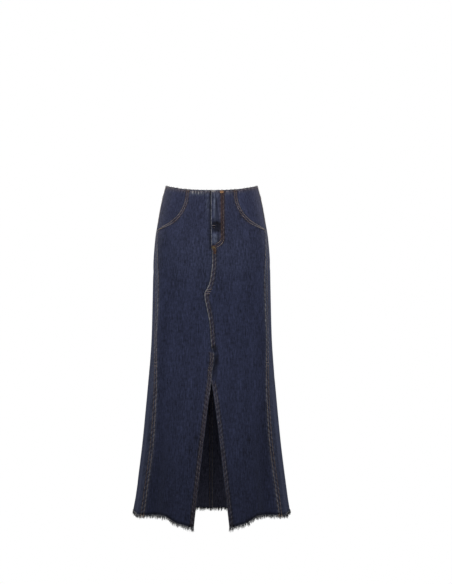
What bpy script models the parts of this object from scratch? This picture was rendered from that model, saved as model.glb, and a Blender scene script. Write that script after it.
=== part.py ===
"""A long denim skirt with a fly front, curved front pockets, a front slit and a raw, frayed hem.

The skirt stands in the round as it is worn, hollow, open at the waist and the hem.
Metres, +Z up, front towards -Y, the wearer's left towards +X.
The origin is the middle of the waist opening, where the wearer holds the skirt up.

Every cloth piece is a patch of one master surface.
A place on that surface has an angle, 0 at the middle of the front and growing towards
the wearer's left, and a drop, measured down from the waist's two side points.
A piece runs between two rails, which are its side edges, and is a wall of real thickness.
"""

import math

import bpy
import numpy as np

# ---- Driving sizes -------------------------------------------------------------------
SIDE_RISE = 0.008  # the waist's side points stand this far above the origin
CLOTH = 0.0012  # one layer of heavy denim
TURNED = 0.0010  # what a second, turned-in layer adds on the inside
GAP = 0.0003  # between two pieces at a seam
RAMP = 0.003  # how quickly a raised seam band comes down to the flat cloth

# The skirt's girth, section by section from the waist down.
SECTION_COLUMNS = ("drop", "half_width", "front", "back", "squareness")
SECTIONS = (
    (0.000, 0.1333, 0.093, 0.097, 0.005),
    (0.051, 0.1463, 0.101, 0.108, 0.012),
    (0.104, 0.1563, 0.106, 0.119, 0.020),
    (0.156, 0.1645, 0.108, 0.128, 0.026),
    (0.225, 0.1696, 0.109, 0.133, 0.030),
    (0.300, 0.1711, 0.110, 0.132, 0.032),
    (0.434, 0.1744, 0.114, 0.131, 0.032),
    (0.539, 0.1812, 0.122, 0.135, 0.030),
    (0.643, 0.1898, 0.133, 0.143, 0.027),
    (0.747, 0.2000, 0.146, 0.154, 0.024),
    (0.852, 0.2137, 0.159, 0.166, 0.022),
    (0.912, 0.2224, 0.166, 0.173, 0.020),
    (0.965, 0.2310, 0.172, 0.179, 0.020),
)

# Soft folds: where each runs, how far it stands out (or in, below zero) at the hem,
# how wide it is, and between which drops it grows to its full depth.
FOLD_COLUMNS = ("angle", "rise", "half_width", "start", "full")
FOLDS = (
    (-25, 0.0090, 21, 0.47, 0.93),
    (24, 0.0100, 20, 0.45, 0.95),
    (-46, -0.0120, 14, 0.50, 0.93),
    (45, -0.0110, 14, 0.52, 0.91),
    (-61, 0.0080, 12, 0.30, 0.90),
    (61, 0.0080, 12, 0.30, 0.92),
    (-116, -0.0110, 18, 0.50, 0.95),
    (119, -0.0130, 17, 0.46, 0.93),
    (-143, 0.0120, 20, 0.42, 0.95),
    (147, 0.0110, 19, 0.47, 0.90),
    (179, -0.0090, 18, 0.52, 0.95),
)

# The waist's and the hem's drop, by the angle from the middle of the front.
WAIST_COLUMNS = ("angle", "drop")
WAIST = (
    (0, 0.0184),
    (10, 0.0182),
    (30, 0.0144),
    (57, 0.0060),
    (74, 0.0016),
    (90, 0.0),
    (135, 0.0018),
    (168, 0.0039),
    (180, 0.0040),
)
HEM_COLUMNS = ("angle", "drop")
HEM = (
    (0, 0.9650),
    (13, 0.9605),
    (19, 0.9540),
    (22, 0.9508),
    (28, 0.9390),
    (32, 0.9330),
    (35, 0.9318),
    (43, 0.9338),
    (58, 0.9380),
    (90, 0.9360),
    (135, 0.9460),
    (168, 0.9555),
    (180, 0.9560),
)
NOMINAL_HEM = 0.940  # the drop of the last row of cloth before the hem's own line bends it
WAIST_FADE = 0.13  # the waist's dip fades out over this drop
HEM_FADE = 0.30  # the hem's line is felt this far up

# The front's middle seam, as a distance to the wearer's left. It is the fly's edge, then
# the swerve of the crotch seam laid flat, and at last the closed top of the slit.
CENTRE_COLUMNS = ("drop", "x")
CENTRE = (
    (0.000, -0.0008),
    (0.103, -0.0008),
    (0.174, 0.0004),
    (0.199, 0.0032),
    (0.222, 0.0030),
    (0.256, -0.0004),
    (0.284, -0.0060),
    (0.298, -0.0127),
    (0.311, -0.0190),
    (0.323, -0.0184),
    (0.343, -0.0144),
    (0.369, -0.0090),
    (0.388, -0.0054),
    (0.416, -0.0025),
    (0.444, -0.0010),
    (0.470, 0.0023),
    (0.481, 0.0076),
    (0.509, 0.0062),
    (0.529, 0.0023),
    (0.559, 0.0006),
)
LAP_CHANGE = 0.476  # above it the wearer's left front laps over, below it the right one
SLIT_TOP = 0.559
SLIT_HALF_AT_HEM = 0.0495
SLIT_SPREAD = 0.9  # the power of its opening: below 1 it spreads sooner at its top
SLIT_SHIFT = 0.0013  # how far to the wearer's left its middle lies

# The pocket's curved mouth, and the angle at which the side seam runs.
POCKET_COLUMNS = ("drop", "x")
POCKET = (
    (0.010, 0.0715),
    (0.044, 0.0750),
    (0.061, 0.0805),
    (0.079, 0.0900),
    (0.094, 0.1030),
    (0.109, 0.1225),
    (0.120, 0.1430),
    (0.129, 0.1580),
)
POCKET_END = 0.129
SIDE_SEAM_COLUMNS = ("drop", "angle")
SIDE_SEAM = (
    (0.000, 90.0),
    (0.036, 88.6),
    (0.070, 86.6),
    (0.100, 84.2),
    (0.129, 80.2),
    (0.156, 75.8),
    (0.215, 70.6),
    (0.272, 67.2),
    (0.340, 66.8),
    (0.415, 66.6),
    (0.515, 61.3),
    (0.560, 59.3),
    (0.615, 57.9),
    (0.729, 57.1),
    (0.850, 57.9),
    (0.965, 58.4),
)

# The fly: how wide the lapped, double layer is down the front, and how far it stands out.
FLY_COLUMNS = ("drop", "width", "rise")
FLY = (
    (0.000, 0.0374, 0.0016),
    (0.150, 0.0374, 0.0016),
    (0.170, 0.0322, 0.0015),
    (0.184, 0.0190, 0.0012),
    (0.194, 0.0100, 0.0009),
    (0.470, 0.0100, 0.0009),
    (0.482, 0.0100, 0.0002),
    (0.965, 0.0115, 0.0002),
)
SEAM_BAND = 0.0125  # width of a lapped side seam, under its two rows of stitches
SEAM_RISE = 0.0007
MOUTH_BAND = 0.0100  # width of the turned edge of a pocket's mouth
SLIT_BAND = 0.0115  # width of the slit's turned-in edge
SLIT_LAP_RISE = 0.0008

# The back yoke's lower edge.
YOKE_AT_SIDE = 0.036
YOKE_AT_BACK = 0.078
YOKE_RISE = 0.0006
BACK_SEAM = 0.0050  # the middle back seam's edge lies this far to the wearer's left

# Rows of every piece, by their drop before the waist's and the hem's lines bend them.
ROWS = np.array(
    (0.000, 0.018, 0.036, 0.052, 0.067, 0.080, 0.093, 0.106, 0.116, 0.1235, 0.1280, POCKET_END)
    + (0.150, 0.172, 0.186, 0.200, 0.235, 0.270, 0.292, 0.311, 0.332, 0.362)
    + (0.400, 0.440, 0.470, 0.482, 0.510, 0.534, SLIT_TOP, 0.600, 0.645)
    + (0.690, 0.735, 0.780, 0.820, 0.858, 0.892, 0.921, NOMINAL_HEM)
)

# The zip and the fly shield behind the fly: how far each face lies off the master surface,
# from the zip's edge on the wearer's right to its edge on the left. Its chain is the third
# and fourth place, sunk to leave room for the slider.
FLY_BOTTOM = 0.176
ZIP_COLUMNS = ("x", "face", "reverse")
ZIP = (
    (-0.0110, -0.0016, -0.0024),
    (-0.0040, -0.0017, -0.0026),
    (0.0015, -0.0044, -0.0054),
    (0.0075, -0.0044, -0.0054),
    (0.0120, -0.0026, -0.0034),
    (0.0210, -0.0026, -0.0034),
)
SLIDER_COLUMNS = ("x", "proud")
SLIDER = ((0.0018, 0.0004), (0.0033, 0.0013), (0.0057, 0.0013), (0.0072, 0.0004))
SLIDER_DROPS = (0.030, 0.033, 0.037, 0.041)
SHIELD_X = (-0.016, 0.040)
SHIELD_FACE = -0.0058
SHIELD_THICK = 0.0020
SHIELD_TAIL = 0.008  # it ends this far below the zip

# The frayed hem: a narrow strip parted from the cloth's edge, with its locks of threads.
FRAY_STRIP = 0.0022
FRAY_THICK = 0.0009
LOCK_PITCH = 0.0068
LOCK_SHARE = 0.62  # of the pitch, the rest is the gap to the next lock
LOCK_TIP = 0.45  # a lock's width at its tip, as a share of its root's
LOCK_LENGTH = (0.0042, 0.0078)
LOCK_SWAY = 0.0014

# ---- Finishes ------------------------------------------------------------------------
DENIM = ("denim", (0.030, 0.034, 0.058), 0.88, 0.0)
FRAY = ("frayed_threads", (0.30, 0.32, 0.36), 0.95, 0.0)
ZIP_TAPE = ("zip_tape", (0.022, 0.024, 0.040), 0.80, 0.0)
BRASS = ("brass", (0.55, 0.38, 0.16), 0.35, 1.0)


def columns(names, rows):
    """A table's rows as one array for each named column."""
    return dict(zip(names, np.array(rows, float).T, strict=True))


SECTION = columns(SECTION_COLUMNS, SECTIONS)
FOLD = columns(FOLD_COLUMNS, FOLDS)


def smooth(x, knots, values):
    """The smooth curve through a table: a cubic between knots, which never overshoots
    them because each inner slope is the harmonic mean of the slopes on its two sides."""
    run = np.diff(values) / np.diff(knots)
    both = run[:-1] * run[1:]
    mean = np.where(both > 0, 2 * both / np.where(both > 0, run[:-1] + run[1:], 1), 0)
    slope = np.concatenate((run[:1], mean, run[-1:]))
    i = np.clip(np.searchsorted(knots, x) - 1, 0, len(knots) - 2)
    span = knots[i + 1] - knots[i]
    t = np.clip((x - knots[i]) / span, 0, 1)
    start = values[i] * (1 + 2 * t) * (1 - t) ** 2 + slope[i] * span * t * (1 - t) ** 2
    end = values[i + 1] * t**2 * (3 - 2 * t) - slope[i + 1] * span * t**2 * (1 - t)
    return start + end


def looked_up(x, names, rows, name):
    table = columns(names, rows)
    return smooth(x, table[names[0]], table[name])


def eased(t):
    """0 before 0 and 1 after 1, with a soft start and end."""
    t = np.clip(t, 0, 1)
    return t * t * (3 - 2 * t)


def girth(name, drop):
    return smooth(drop, SECTION["drop"], SECTION[name])


def fold_rise(angle, drop):
    """How far the folds stand out at a place: each is a round wave that grows downwards."""
    total = np.zeros(np.broadcast(angle, drop).shape)
    for line, rise, half_width, start, full in zip(*FOLD.values(), strict=True):
        away = (np.degrees(angle) - line + 180) % 360 - 180
        wave = np.cos(np.clip(away / half_width, -1, 1) * math.pi / 2) ** 2
        total += rise * wave * eased((drop - start) / (full - start))
    return total


def surface(angle, drop):
    """The master surface: a squared oval ring at each drop, waved by the folds."""
    angle, drop = np.broadcast_arrays(angle, drop)
    square = girth("squareness", drop)
    half_width = girth("half_width", drop)
    depth = (girth("front", drop) + girth("back", drop)) / 2
    middle = (girth("back", drop) - girth("front", drop)) / 2
    across = (np.sin(angle) + square * np.sin(3 * angle)) / (1 - square)
    along = (np.cos(angle) - square * np.cos(3 * angle)) / (1 - square)
    out = np.stack((np.sin(angle) * depth, -np.cos(angle) * half_width), -1)
    out /= np.linalg.norm(out, axis=-1, keepdims=True)
    rise = fold_rise(angle, drop)
    x = half_width * across + out[..., 0] * rise
    y = middle - depth * along + out[..., 1] * rise
    return np.stack((x, y, SIDE_RISE - drop), -1)


def outward(angle, drop):
    """The master surface's unit normal, pointing away from the wearer."""
    step = 1e-4
    around = surface(angle + step, drop) - surface(angle - step, drop)
    down = surface(angle, drop + step) - surface(angle, drop - step)
    normal = np.cross(down, around)
    return normal / np.linalg.norm(normal, axis=-1, keepdims=True)


def angle_at(x, drop):
    """The angle on the front half at which the ring of that drop is x to the left."""
    angles = np.linspace(-math.pi / 2, math.pi / 2, 721)
    return np.interp(x, surface(angles, drop)[:, 0], angles)


def bent_drop(row, angle):
    """A row's drop at an angle: rows follow the waist's line above and the hem's below."""
    off_front = np.abs(np.degrees(angle))
    waist = looked_up(off_front, WAIST_COLUMNS, WAIST, "drop")
    hem = looked_up(off_front, HEM_COLUMNS, HEM, "drop") - NOMINAL_HEM
    by_waist = waist * eased(1 - row / WAIST_FADE)
    by_hem = hem * np.clip(1 - (NOMINAL_HEM - row) / HEM_FADE, 0, 1) ** 1.5
    return row + by_waist + by_hem


def yoke_drop(angle):
    """The yoke's lower edge, a shallow V that is lowest at the middle of the back."""
    return np.interp(np.abs(angle), (math.pi / 2, math.pi), (YOKE_AT_SIDE, YOKE_AT_BACK))


# ---- Rails: the angle of each piece's side edges at a drop -----------------------------
def centre_rail(side):
    """The middle edge of a front: side is +1 for the wearer's left and -1 for the right."""

    def rail(drop):
        middle = looked_up(drop, CENTRE_COLUMNS, CENTRE, "x")
        opened = max(0.0, (drop - SLIT_TOP) / (HEM[0][1] - SLIT_TOP))
        free = min(1, 4 * opened)
        half = GAP / 2 + SLIT_HALF_AT_HEM * opened**SLIT_SPREAD
        x = middle * (1 - free) + SLIT_SHIFT * free + side * half
        return angle_at(x, drop)

    return rail


def side_rail(side, beyond):
    """The side seam. beyond is +1 for a piece in front of it and -1 for one behind it."""

    def rail(drop):
        place = math.radians(looked_up(drop, SIDE_SEAM_COLUMNS, SIDE_SEAM, "angle"))
        return side * (place - beyond * GAP / 2 / girth("half_width", drop))

    return rail


def mouth_rail(side, beyond):
    """The pocket's mouth. beyond is +1 for the front below it, -1 for the hip piece."""

    def rail(drop):
        x = looked_up(drop, POCKET_COLUMNS, POCKET, "x")
        return side * angle_at(x - beyond * GAP, drop)

    return rail


def back_rail(side):
    def rail(drop):
        return side * math.pi - (BACK_SEAM + side * GAP / 2) / girth("half_width", drop)

    return rail


def fitted(rail, row, bend):
    """The rail's place on a row, found by going between the rail and the row's own bend."""
    drop = row
    for _ in range(8):
        angle = float(rail(drop))
        drop = float(bend(row, angle))
    return angle


# ---- Solids --------------------------------------------------------------------------
def painted(finish):
    name, colour, roughness, metallic = finish
    found = bpy.data.materials.get(name)
    if found:
        return found
    material = bpy.data.materials.new(name)
    material.use_nodes = True
    shader = material.node_tree.nodes["Principled BSDF"]
    shader.inputs["Base Color"].default_value = (*colour, 1)
    shader.inputs["Roughness"].default_value = roughness
    shader.inputs["Metallic"].default_value = metallic
    material.diffuse_color = (*colour, 1)
    return material


def placed(name, points, faces, finish):
    """A named object from points and faces, shaded smooth but for its real edges."""
    mesh = bpy.data.meshes.new(name)
    mesh.from_pydata([tuple(p) for p in points], [], [tuple(map(int, f)) for f in faces])
    mesh.materials.append(painted(finish))
    mesh.shade_smooth()
    mesh.set_sharp_from_angle(angle=math.radians(40))
    thing = bpy.data.objects.new(name, mesh)
    bpy.context.scene.collection.objects.link(thing)
    return thing


def wall(name, outer, inner, finish):
    """A closed wall between two grids of points of the same shape."""
    rows, across = outer.shape[:2]
    index = np.arange(rows * across).reshape(rows, across)
    a, b = index[:-1, :-1].ravel(), index[:-1, 1:].ravel()
    c, d = index[1:, 1:].ravel(), index[1:, :-1].ravel()
    rim = np.concatenate((index[0, :], index[1:, -1], index[-1, -2::-1], index[-2:0:-1, 0]))
    following = np.roll(rim, -1)
    inside = rows * across
    faces = np.concatenate(
        (
            np.stack((a, d, c, b), -1),
            np.stack((a, b, c, d), -1) + inside,
            np.stack((rim, following, following + inside, rim + inside), -1),
        )
    )
    points = np.concatenate((outer.reshape(-1, 3), inner.reshape(-1, 3)))
    return placed(name, points, faces, finish)


def stops(width, left, right, inner):
    """Where a row's points lie across it: over each edge's band, then evenly between."""
    start, end, before, after = 0.0, width, [0.0], [width]
    if left:
        before = [0.0, left / 3, 2 * left / 3, left]
        start = left + RAMP
    if right:
        after = [width - right, width - right / 2, width]
        end = width - right - RAMP
    between = np.linspace(start, end, inner)
    if not left:
        between = between[1:]
    if not right:
        between = between[:-1]
    return np.concatenate((before, between, after))


def band_profile(distance, width):
    """1 over an edge's band and 0 past its ramp."""
    return 1 - np.clip((distance - width) / RAMP, 0, 1)


def panel(name, rows, rails, inner, bend=bent_drop, left=None, right=None, rise=0.0):
    """A wall of cloth between two rails. left and right give an edge's band at a drop:
    its width, how far it stands out and what it adds on the inside."""
    grids = []
    for row in rows:
        ends = [fitted(rail, row, bend) for rail in rails]
        fine = np.linspace(*ends, 400)
        line = surface(fine, bend(row, fine))
        run = np.concatenate(([0], np.cumsum(np.linalg.norm(np.diff(line, axis=0), axis=1))))
        edges = [band(bend(row, end)) if band else None for band, end in zip((left, right), ends)]
        at = stops(run[-1], *[edge[0] if edge else None for edge in edges], inner)
        angle = np.interp(at, run, fine)
        out, thick = np.full(len(at), rise), np.full(len(at), CLOTH)
        for edge, distance in zip(edges, (at, run[-1] - at), strict=True):
            if edge:
                share = band_profile(distance, edge[0])
                out += edge[1] * share
                thick += (edge[1] + edge[2]) * share
        drop = bend(row, angle)
        normal = outward(angle, drop)
        face = surface(angle, drop) + normal * out[:, None]
        grids.append((face, face - normal * thick[:, None]))
    outer, inside = (np.stack(grid) for grid in zip(*grids, strict=True))
    wall(name, outer, inside, DENIM)
    return outer, inside


def fly_band(drop):
    width = looked_up(drop, FLY_COLUMNS, FLY, "width")
    return width, looked_up(drop, FLY_COLUMNS, FLY, "rise"), TURNED


def right_centre_band(drop):
    """The wearer's right front lies flat under the left one, then laps over at the slit."""
    lap = eased((drop - LAP_CHANGE) / 0.006) * (1 - 0.7 * eased((drop - SLIT_TOP) / 0.04))
    return SLIT_BAND, SLIT_LAP_RISE * lap, TURNED * eased((drop - LAP_CHANGE) / 0.006)


def outer_band(drop):
    """A front's outer edge: the turned mouth of the pocket, then the lapped side seam."""
    share = eased((drop - POCKET_END) / 0.03)
    return MOUTH_BAND + (SEAM_BAND - MOUTH_BAND) * share, SEAM_RISE, TURNED


def centre_back_band(_drop):
    return SEAM_BAND, SEAM_RISE, TURNED


def front(name, side):
    """One front, from the waist to the hem, cut away at the top by the pocket's mouth."""
    mouth, seam = mouth_rail(side, 1), side_rail(side, 1)

    def outer(drop):
        return mouth(drop) if drop < POCKET_END else seam(drop)

    if side > 0:
        return panel(name, ROWS, (centre_rail(1), outer), 9, left=fly_band, right=outer_band)
    return panel(
        name, ROWS, (outer, centre_rail(-1)), 9, left=outer_band, right=right_centre_band
    )


def hip(name, side):
    """The hip piece that shows above the pocket's mouth, up to the waist and the side."""
    rows = ROWS[ROWS < POCKET_END]
    rails = (mouth_rail(side, -1), side_rail(side, 1))
    return panel(name, rows, rails if side > 0 else rails[::-1], 7, rise=-0.0003)


def yoke(name, side):
    """Half of the back yoke, which gives the back its shape in place of darts."""

    def bend(share, angle):
        top = bent_drop(0.0, angle)
        return top + (yoke_drop(angle) - GAP / 2 - top) * share

    rails = (side_rail(side, -1), back_rail(side))
    ordered = rails if side > 0 else rails[::-1]
    return panel(name, np.linspace(0, 1, 5), ordered, 13, bend=bend, rise=YOKE_RISE)


def back(name, side):
    """Half of the back, from the yoke to the hem. At the side seam its rows are the front's
    own rows, so that the seam's two sides run together, and towards the middle of the back
    the rows nearest the yoke bend down to follow it."""
    rows = np.concatenate(([YOKE_AT_SIDE], ROWS[ROWS > YOKE_AT_SIDE + 0.015]))

    def bend(row, angle):
        near = np.clip((POCKET_END - row) / (POCKET_END - YOKE_AT_SIDE), 0, 1) ** 1.5
        lift = (yoke_drop(angle) + GAP / 2 - YOKE_AT_SIDE) * near
        return lift + (bent_drop(row, angle) if row >= POCKET_END else row)

    rails = (side_rail(side, -1), back_rail(side))
    if side > 0:
        return panel(name, rows, rails, 13, bend=bend)
    return panel(name, rows, rails[::-1], 13, bend=bend, left=centre_back_band)


# ---- The zip and the shield behind it ---------------------------------------------------
def layer(name, xs, face, reverse, drops, finish):
    """A strip down the front, whose two faces lie at given distances off the surface."""
    outer, inner = [], []
    for row in drops:
        angle = angle_at(xs, row)
        drop = bent_drop(row, angle)
        point, normal = surface(angle, drop), outward(angle, drop)
        outer.append(point + normal * face[:, None])
        inner.append(point + normal * reverse[:, None])
    wall(name, np.stack(outer), np.stack(inner), finish)


def zip_and_shield():
    """The zip's two tapes and its closed chain, the slider on them, and the shield that
    lies between them and the wearer."""
    drops = ROWS[(ROWS < FLY_BOTTOM - 0.01)]
    tape = columns(ZIP_COLUMNS, ZIP)
    layer("zip", *tape.values(), np.append(drops, FLY_BOTTOM), ZIP_TAPE)
    xs = np.linspace(*SHIELD_X, 6)
    face = np.full(len(xs), SHIELD_FACE)
    tail = np.append(drops, FLY_BOTTOM + SHIELD_TAIL)
    layer("fly_shield", xs, face, face - SHIELD_THICK, tail, DENIM)
    body = columns(SLIDER_COLUMNS, SLIDER)
    reverse = np.full(len(SLIDER), tape["face"][2] + GAP)
    layer("zip_slider", body["x"], reverse + body["proud"], reverse, SLIDER_DROPS, BRASS)


# ---- The frayed hem --------------------------------------------------------------------
def sampled(line, at):
    """Points at given runs along a line of points."""
    run = np.concatenate(([0], np.cumsum(np.linalg.norm(np.diff(line, axis=0), axis=1))))
    return np.stack([np.interp(at * run[-1], run, line[:, i]) for i in range(3)], -1)


def fray(name, outer, inner, seed):
    """A strip just below the cloth's edge, with a lock of threads hanging from every
    other stretch of it. It follows the cloth's own edge points, moved down."""
    chance = np.random.default_rng(seed)
    edge = (outer[-1] + inner[-1]) / 2
    down = edge - (outer[-2] + inner[-2]) / 2
    down /= np.linalg.norm(down, axis=1, keepdims=True)
    through = outer[-1] - inner[-1]
    through /= np.linalg.norm(through, axis=1, keepdims=True)
    locks = int(np.linalg.norm(np.diff(edge, axis=0), axis=1).sum() / LOCK_PITCH)
    at = (np.arange(2 * locks) // 2 + np.tile((0, LOCK_SHARE), locks)) / locks
    at = np.append(at[1:], 1.0) if seed % 2 else at
    at = np.clip(at, 0.002, 0.998)
    middle, down = sampled(edge, at), sampled(down, at)
    through = sampled(through, at)
    top = middle + down * GAP
    bottom = top + down * FRAY_STRIP
    half = through * FRAY_THICK / 2
    rings = np.stack((top - half, bottom - half, bottom + half, top + half), 1)
    count = len(rings)
    points = [rings.reshape(-1, 3)]
    faces = [(0, 1, 2, 3), tuple(4 * (count - 1) + i for i in (3, 2, 1, 0))]
    made = 4 * count
    for i in range(count - 1):
        a, b = 4 * i, 4 * i + 4
        faces += [(a + 1, a, b, b + 1), (a, a + 3, b + 3, b), (a + 3, a + 2, b + 2, b + 3)]
        if i % 2:
            faces.append((a + 2, a + 1, b + 1, b + 2))
            continue
        root = rings[i : i + 2, 1:3].reshape(4, 3)
        centre = root.mean(0)
        length = chance.uniform(*LOCK_LENGTH)
        sway = (rings[i + 1, 1] - rings[i, 1]) * chance.uniform(-0.4, 0.4)
        sway = sway + through[i] * chance.uniform(-LOCK_SWAY, LOCK_SWAY)
        points.append(centre + (root - centre) * LOCK_TIP + down[i] * length + sway)
        low_a, low_b = made, made + 2
        made += 4
        faces += [
            (a + 1, b + 1, low_b, low_a),
            (b + 1, b + 2, low_b + 1, low_b),
            (b + 2, a + 2, low_a + 1, low_b + 1),
            (a + 2, a + 1, low_a, low_a + 1),
            (low_a, low_b, low_b + 1, low_a + 1),
        ]
    placed(name, np.concatenate(points), faces, FRAY)


# ---- The whole skirt --------------------------------------------------------------------
for thing in list(bpy.data.objects):
    bpy.data.objects.remove(thing)

hems = {
    "fray_front_right": front("front_right", -1),
    "fray_front_left": front("front_left", 1),
    "fray_back_right": back("back_right", -1),
    "fray_back_left": back("back_left", 1),
}
for side, word in ((-1, "right"), (1, "left")):
    hip(f"hip_{word}", side)
    yoke(f"yoke_{word}", side)
zip_and_shield()
for seed, (name, (outer_grid, inner_grid)) in enumerate(hems.items()):
    fray(name, outer_grid, inner_grid, 2 * seed)
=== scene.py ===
# %% [markdown]
# # A long denim skirt, dressed
#
# The skirt's plain solids are loaded as a fixed frame: every panel is there at its real size
# and place. This lesson gives them their looks. Each panel becomes a thin sheet of real
# denim with lapped seams, creases and wash marks, and then the sewing, the frayed threads
# and the zip are laid on and behind the cloth. All lengths are in metres.

# %% Load the frame
import math

import bpy
import numpy as np
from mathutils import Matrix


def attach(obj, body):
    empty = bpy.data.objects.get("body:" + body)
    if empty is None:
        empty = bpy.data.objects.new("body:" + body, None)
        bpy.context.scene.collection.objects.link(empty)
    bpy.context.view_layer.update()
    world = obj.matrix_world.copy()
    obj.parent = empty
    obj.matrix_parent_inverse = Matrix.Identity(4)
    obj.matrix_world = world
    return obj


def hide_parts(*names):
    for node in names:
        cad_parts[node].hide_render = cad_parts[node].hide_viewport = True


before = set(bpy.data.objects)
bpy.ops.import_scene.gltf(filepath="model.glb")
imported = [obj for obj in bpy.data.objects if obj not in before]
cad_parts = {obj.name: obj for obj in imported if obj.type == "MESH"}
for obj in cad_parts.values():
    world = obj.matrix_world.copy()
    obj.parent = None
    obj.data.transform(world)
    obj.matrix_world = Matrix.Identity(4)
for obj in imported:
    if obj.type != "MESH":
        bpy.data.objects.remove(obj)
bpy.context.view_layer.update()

# %% [markdown]
# ## Camera, floor and light
#
# A garment is shown in a white studio by a long lens held level at the hip, so that the
# waist and the hem both keep their shape. The camera stands a little to one side of the
# middle. Two big soft lamps stand in front of the skirt, high up, one on each side. They
# reach its sides more squarely than its front, and its top more than its hem. Two more
# stand behind, so that the back isn't left in the dark.

# %% The camera
CAMERA_PLACE = (0.0415, -4.2, -0.2985)
CAMERA_LENS = 89.3  # on a 36 mm frame, measured along its long side

camera = bpy.data.objects.new("camera", bpy.data.cameras.new("camera"))
camera.data.lens = CAMERA_LENS
camera.location = CAMERA_PLACE
camera.rotation_euler = (math.pi / 2, 0, 0)
bpy.context.scene.collection.objects.link(camera)
bpy.context.scene.camera = camera
bpy.context.scene.view_settings.view_transform = "Standard"
print("camera at", CAMERA_PLACE)

# %% A floor as pale as the studio
FLOOR_DROP = 1.07
FLOOR_RADIUS = 40.0

turns = np.linspace(0, 2 * math.pi, 96, endpoint=False)
rim = np.stack((FLOOR_RADIUS * np.cos(turns), FLOOR_RADIUS * np.sin(turns)), -1)
floor_mesh = bpy.data.meshes.new("floor")
floor_mesh.from_pydata([(*p, -FLOOR_DROP) for p in rim], [], [tuple(range(len(rim)))])
floor = bpy.data.objects.new("floor", floor_mesh)
bpy.context.scene.collection.objects.link(floor)
pale = bpy.data.materials.new("studio_white")
pale.use_nodes = True
shader = pale.node_tree.nodes["Principled BSDF"]
shader.inputs["Base Color"].default_value = (0, 0, 0, 1)
shader.inputs["Specular IOR Level"].default_value = 0.0
shader.inputs["Emission Color"].default_value = (1, 1, 1, 1)
shader.inputs["Emission Strength"].default_value = 1.0
floor_mesh.materials.append(pale)
floor.visible_diffuse = False  # a white floor this big would wash out the hem from below
floor.visible_glossy = False

# %% The studio's walls are a white world, which lights the skirt less than it shows
WORLD_SEEN = 1.0
WORLD_FELT = 0.15

world = bpy.data.worlds.new("studio")
world.use_nodes = True
tree = world.node_tree
background = tree.nodes["Background"]
background.inputs["Color"].default_value = (1, 1, 1, 1)
ray = tree.nodes.new("ShaderNodeLightPath")
strength = tree.nodes.new("ShaderNodeMapRange")
strength.inputs["To Min"].default_value = WORLD_FELT
strength.inputs["To Max"].default_value = WORLD_SEEN
tree.links.new(ray.outputs["Is Camera Ray"], strength.inputs["Value"])
tree.links.new(strength.outputs["Result"], background.inputs["Strength"])
bpy.context.scene.world = world

# %% Four soft lamps
# Each has a name, a place in x, y and z, a size across and a power in watts.
LAMPS = (
    ("front_left", 1.45, -1.55, 1.50, 1.0, 44),
    ("front_right", -1.45, -1.55, 1.50, 1.0, 44),
    ("back_left", 1.45, 1.60, 1.50, 1.0, 46),
    ("back_right", -1.45, 1.60, 1.50, 1.0, 46),
)
LAMP_AIM = np.array((0, 0, 0.05))

for name, x, y, z, size, power in LAMPS:
    lamp = bpy.data.objects.new(f"lamp_{name}", bpy.data.lights.new(f"lamp_{name}", "AREA"))
    lamp.data.shape = "DISK"
    lamp.data.size = size
    lamp.data.energy = power
    lamp.location = (x, y, z)
    away = np.array((x, y, z)) - LAMP_AIM
    tilt = math.atan2(math.hypot(away[0], away[1]), away[2])
    lamp.rotation_euler = (tilt, 0, math.atan2(away[1], away[0]) + math.pi / 2)
    bpy.context.scene.collection.objects.link(lamp)
print(len(LAMPS), "lamps")

# %% [markdown]
# ## The shape that every panel shares
#
# A skirt is cut flat and takes its form on the wearer: a squared oval at each height, which
# widens to the hem and falls into soft folds there. The panels could be modelled one by
# one, but then their seams wouldn't meet. So one master surface holds the whole skirt,
# and each panel is a patch of it. A place on it has an angle, 0 at the middle of the front
# and growing to the wearer's left, and a drop below the waist's two side points.

# %% Tables with named columns
def columns(names, rows):
    """A table's rows as one array for each named column."""
    return dict(zip(names, np.array(rows, float).T, strict=True))


# %% Girth, folds, waist line and hem line
SIDE_RISE = 0.008  # the waist's side points stand this far above the origin
GAP = 0.0003  # between two panels at a seam

SECTION = columns(("drop", "half_width", "front", "back", "squareness"), (
    (0.000, 0.1333, 0.093, 0.097, 0.005),
    (0.051, 0.1463, 0.101, 0.108, 0.012),
    (0.104, 0.1563, 0.106, 0.119, 0.020),
    (0.156, 0.1645, 0.108, 0.128, 0.026),
    (0.225, 0.1696, 0.109, 0.133, 0.030),
    (0.300, 0.1711, 0.110, 0.132, 0.032),
    (0.434, 0.1744, 0.114, 0.131, 0.032),
    (0.539, 0.1812, 0.122, 0.135, 0.030),
    (0.643, 0.1898, 0.133, 0.143, 0.027),
    (0.747, 0.2000, 0.146, 0.154, 0.024),
    (0.852, 0.2137, 0.159, 0.166, 0.022),
    (0.912, 0.2224, 0.166, 0.173, 0.020),
    (0.965, 0.2310, 0.172, 0.179, 0.020),
))
FOLD = columns(("angle", "rise", "half_width", "start", "full"), (
    (-25, 0.0090, 21, 0.47, 0.93),
    (24, 0.0100, 20, 0.45, 0.95),
    (-46, -0.0120, 14, 0.50, 0.93),
    (45, -0.0110, 14, 0.52, 0.91),
    (-61, 0.0080, 12, 0.30, 0.90),
    (61, 0.0080, 12, 0.30, 0.92),
    (-116, -0.0110, 18, 0.50, 0.95),
    (119, -0.0130, 17, 0.46, 0.93),
    (-143, 0.0120, 20, 0.42, 0.95),
    (147, 0.0110, 19, 0.47, 0.90),
    (179, -0.0090, 18, 0.52, 0.95),
))
WAIST = columns(("angle", "drop"), (
    (0, 0.0184),
    (10, 0.0182),
    (30, 0.0144),
    (57, 0.0060),
    (74, 0.0016),
    (90, 0.0),
    (135, 0.0018),
    (168, 0.0039),
    (180, 0.0040),
))
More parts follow.
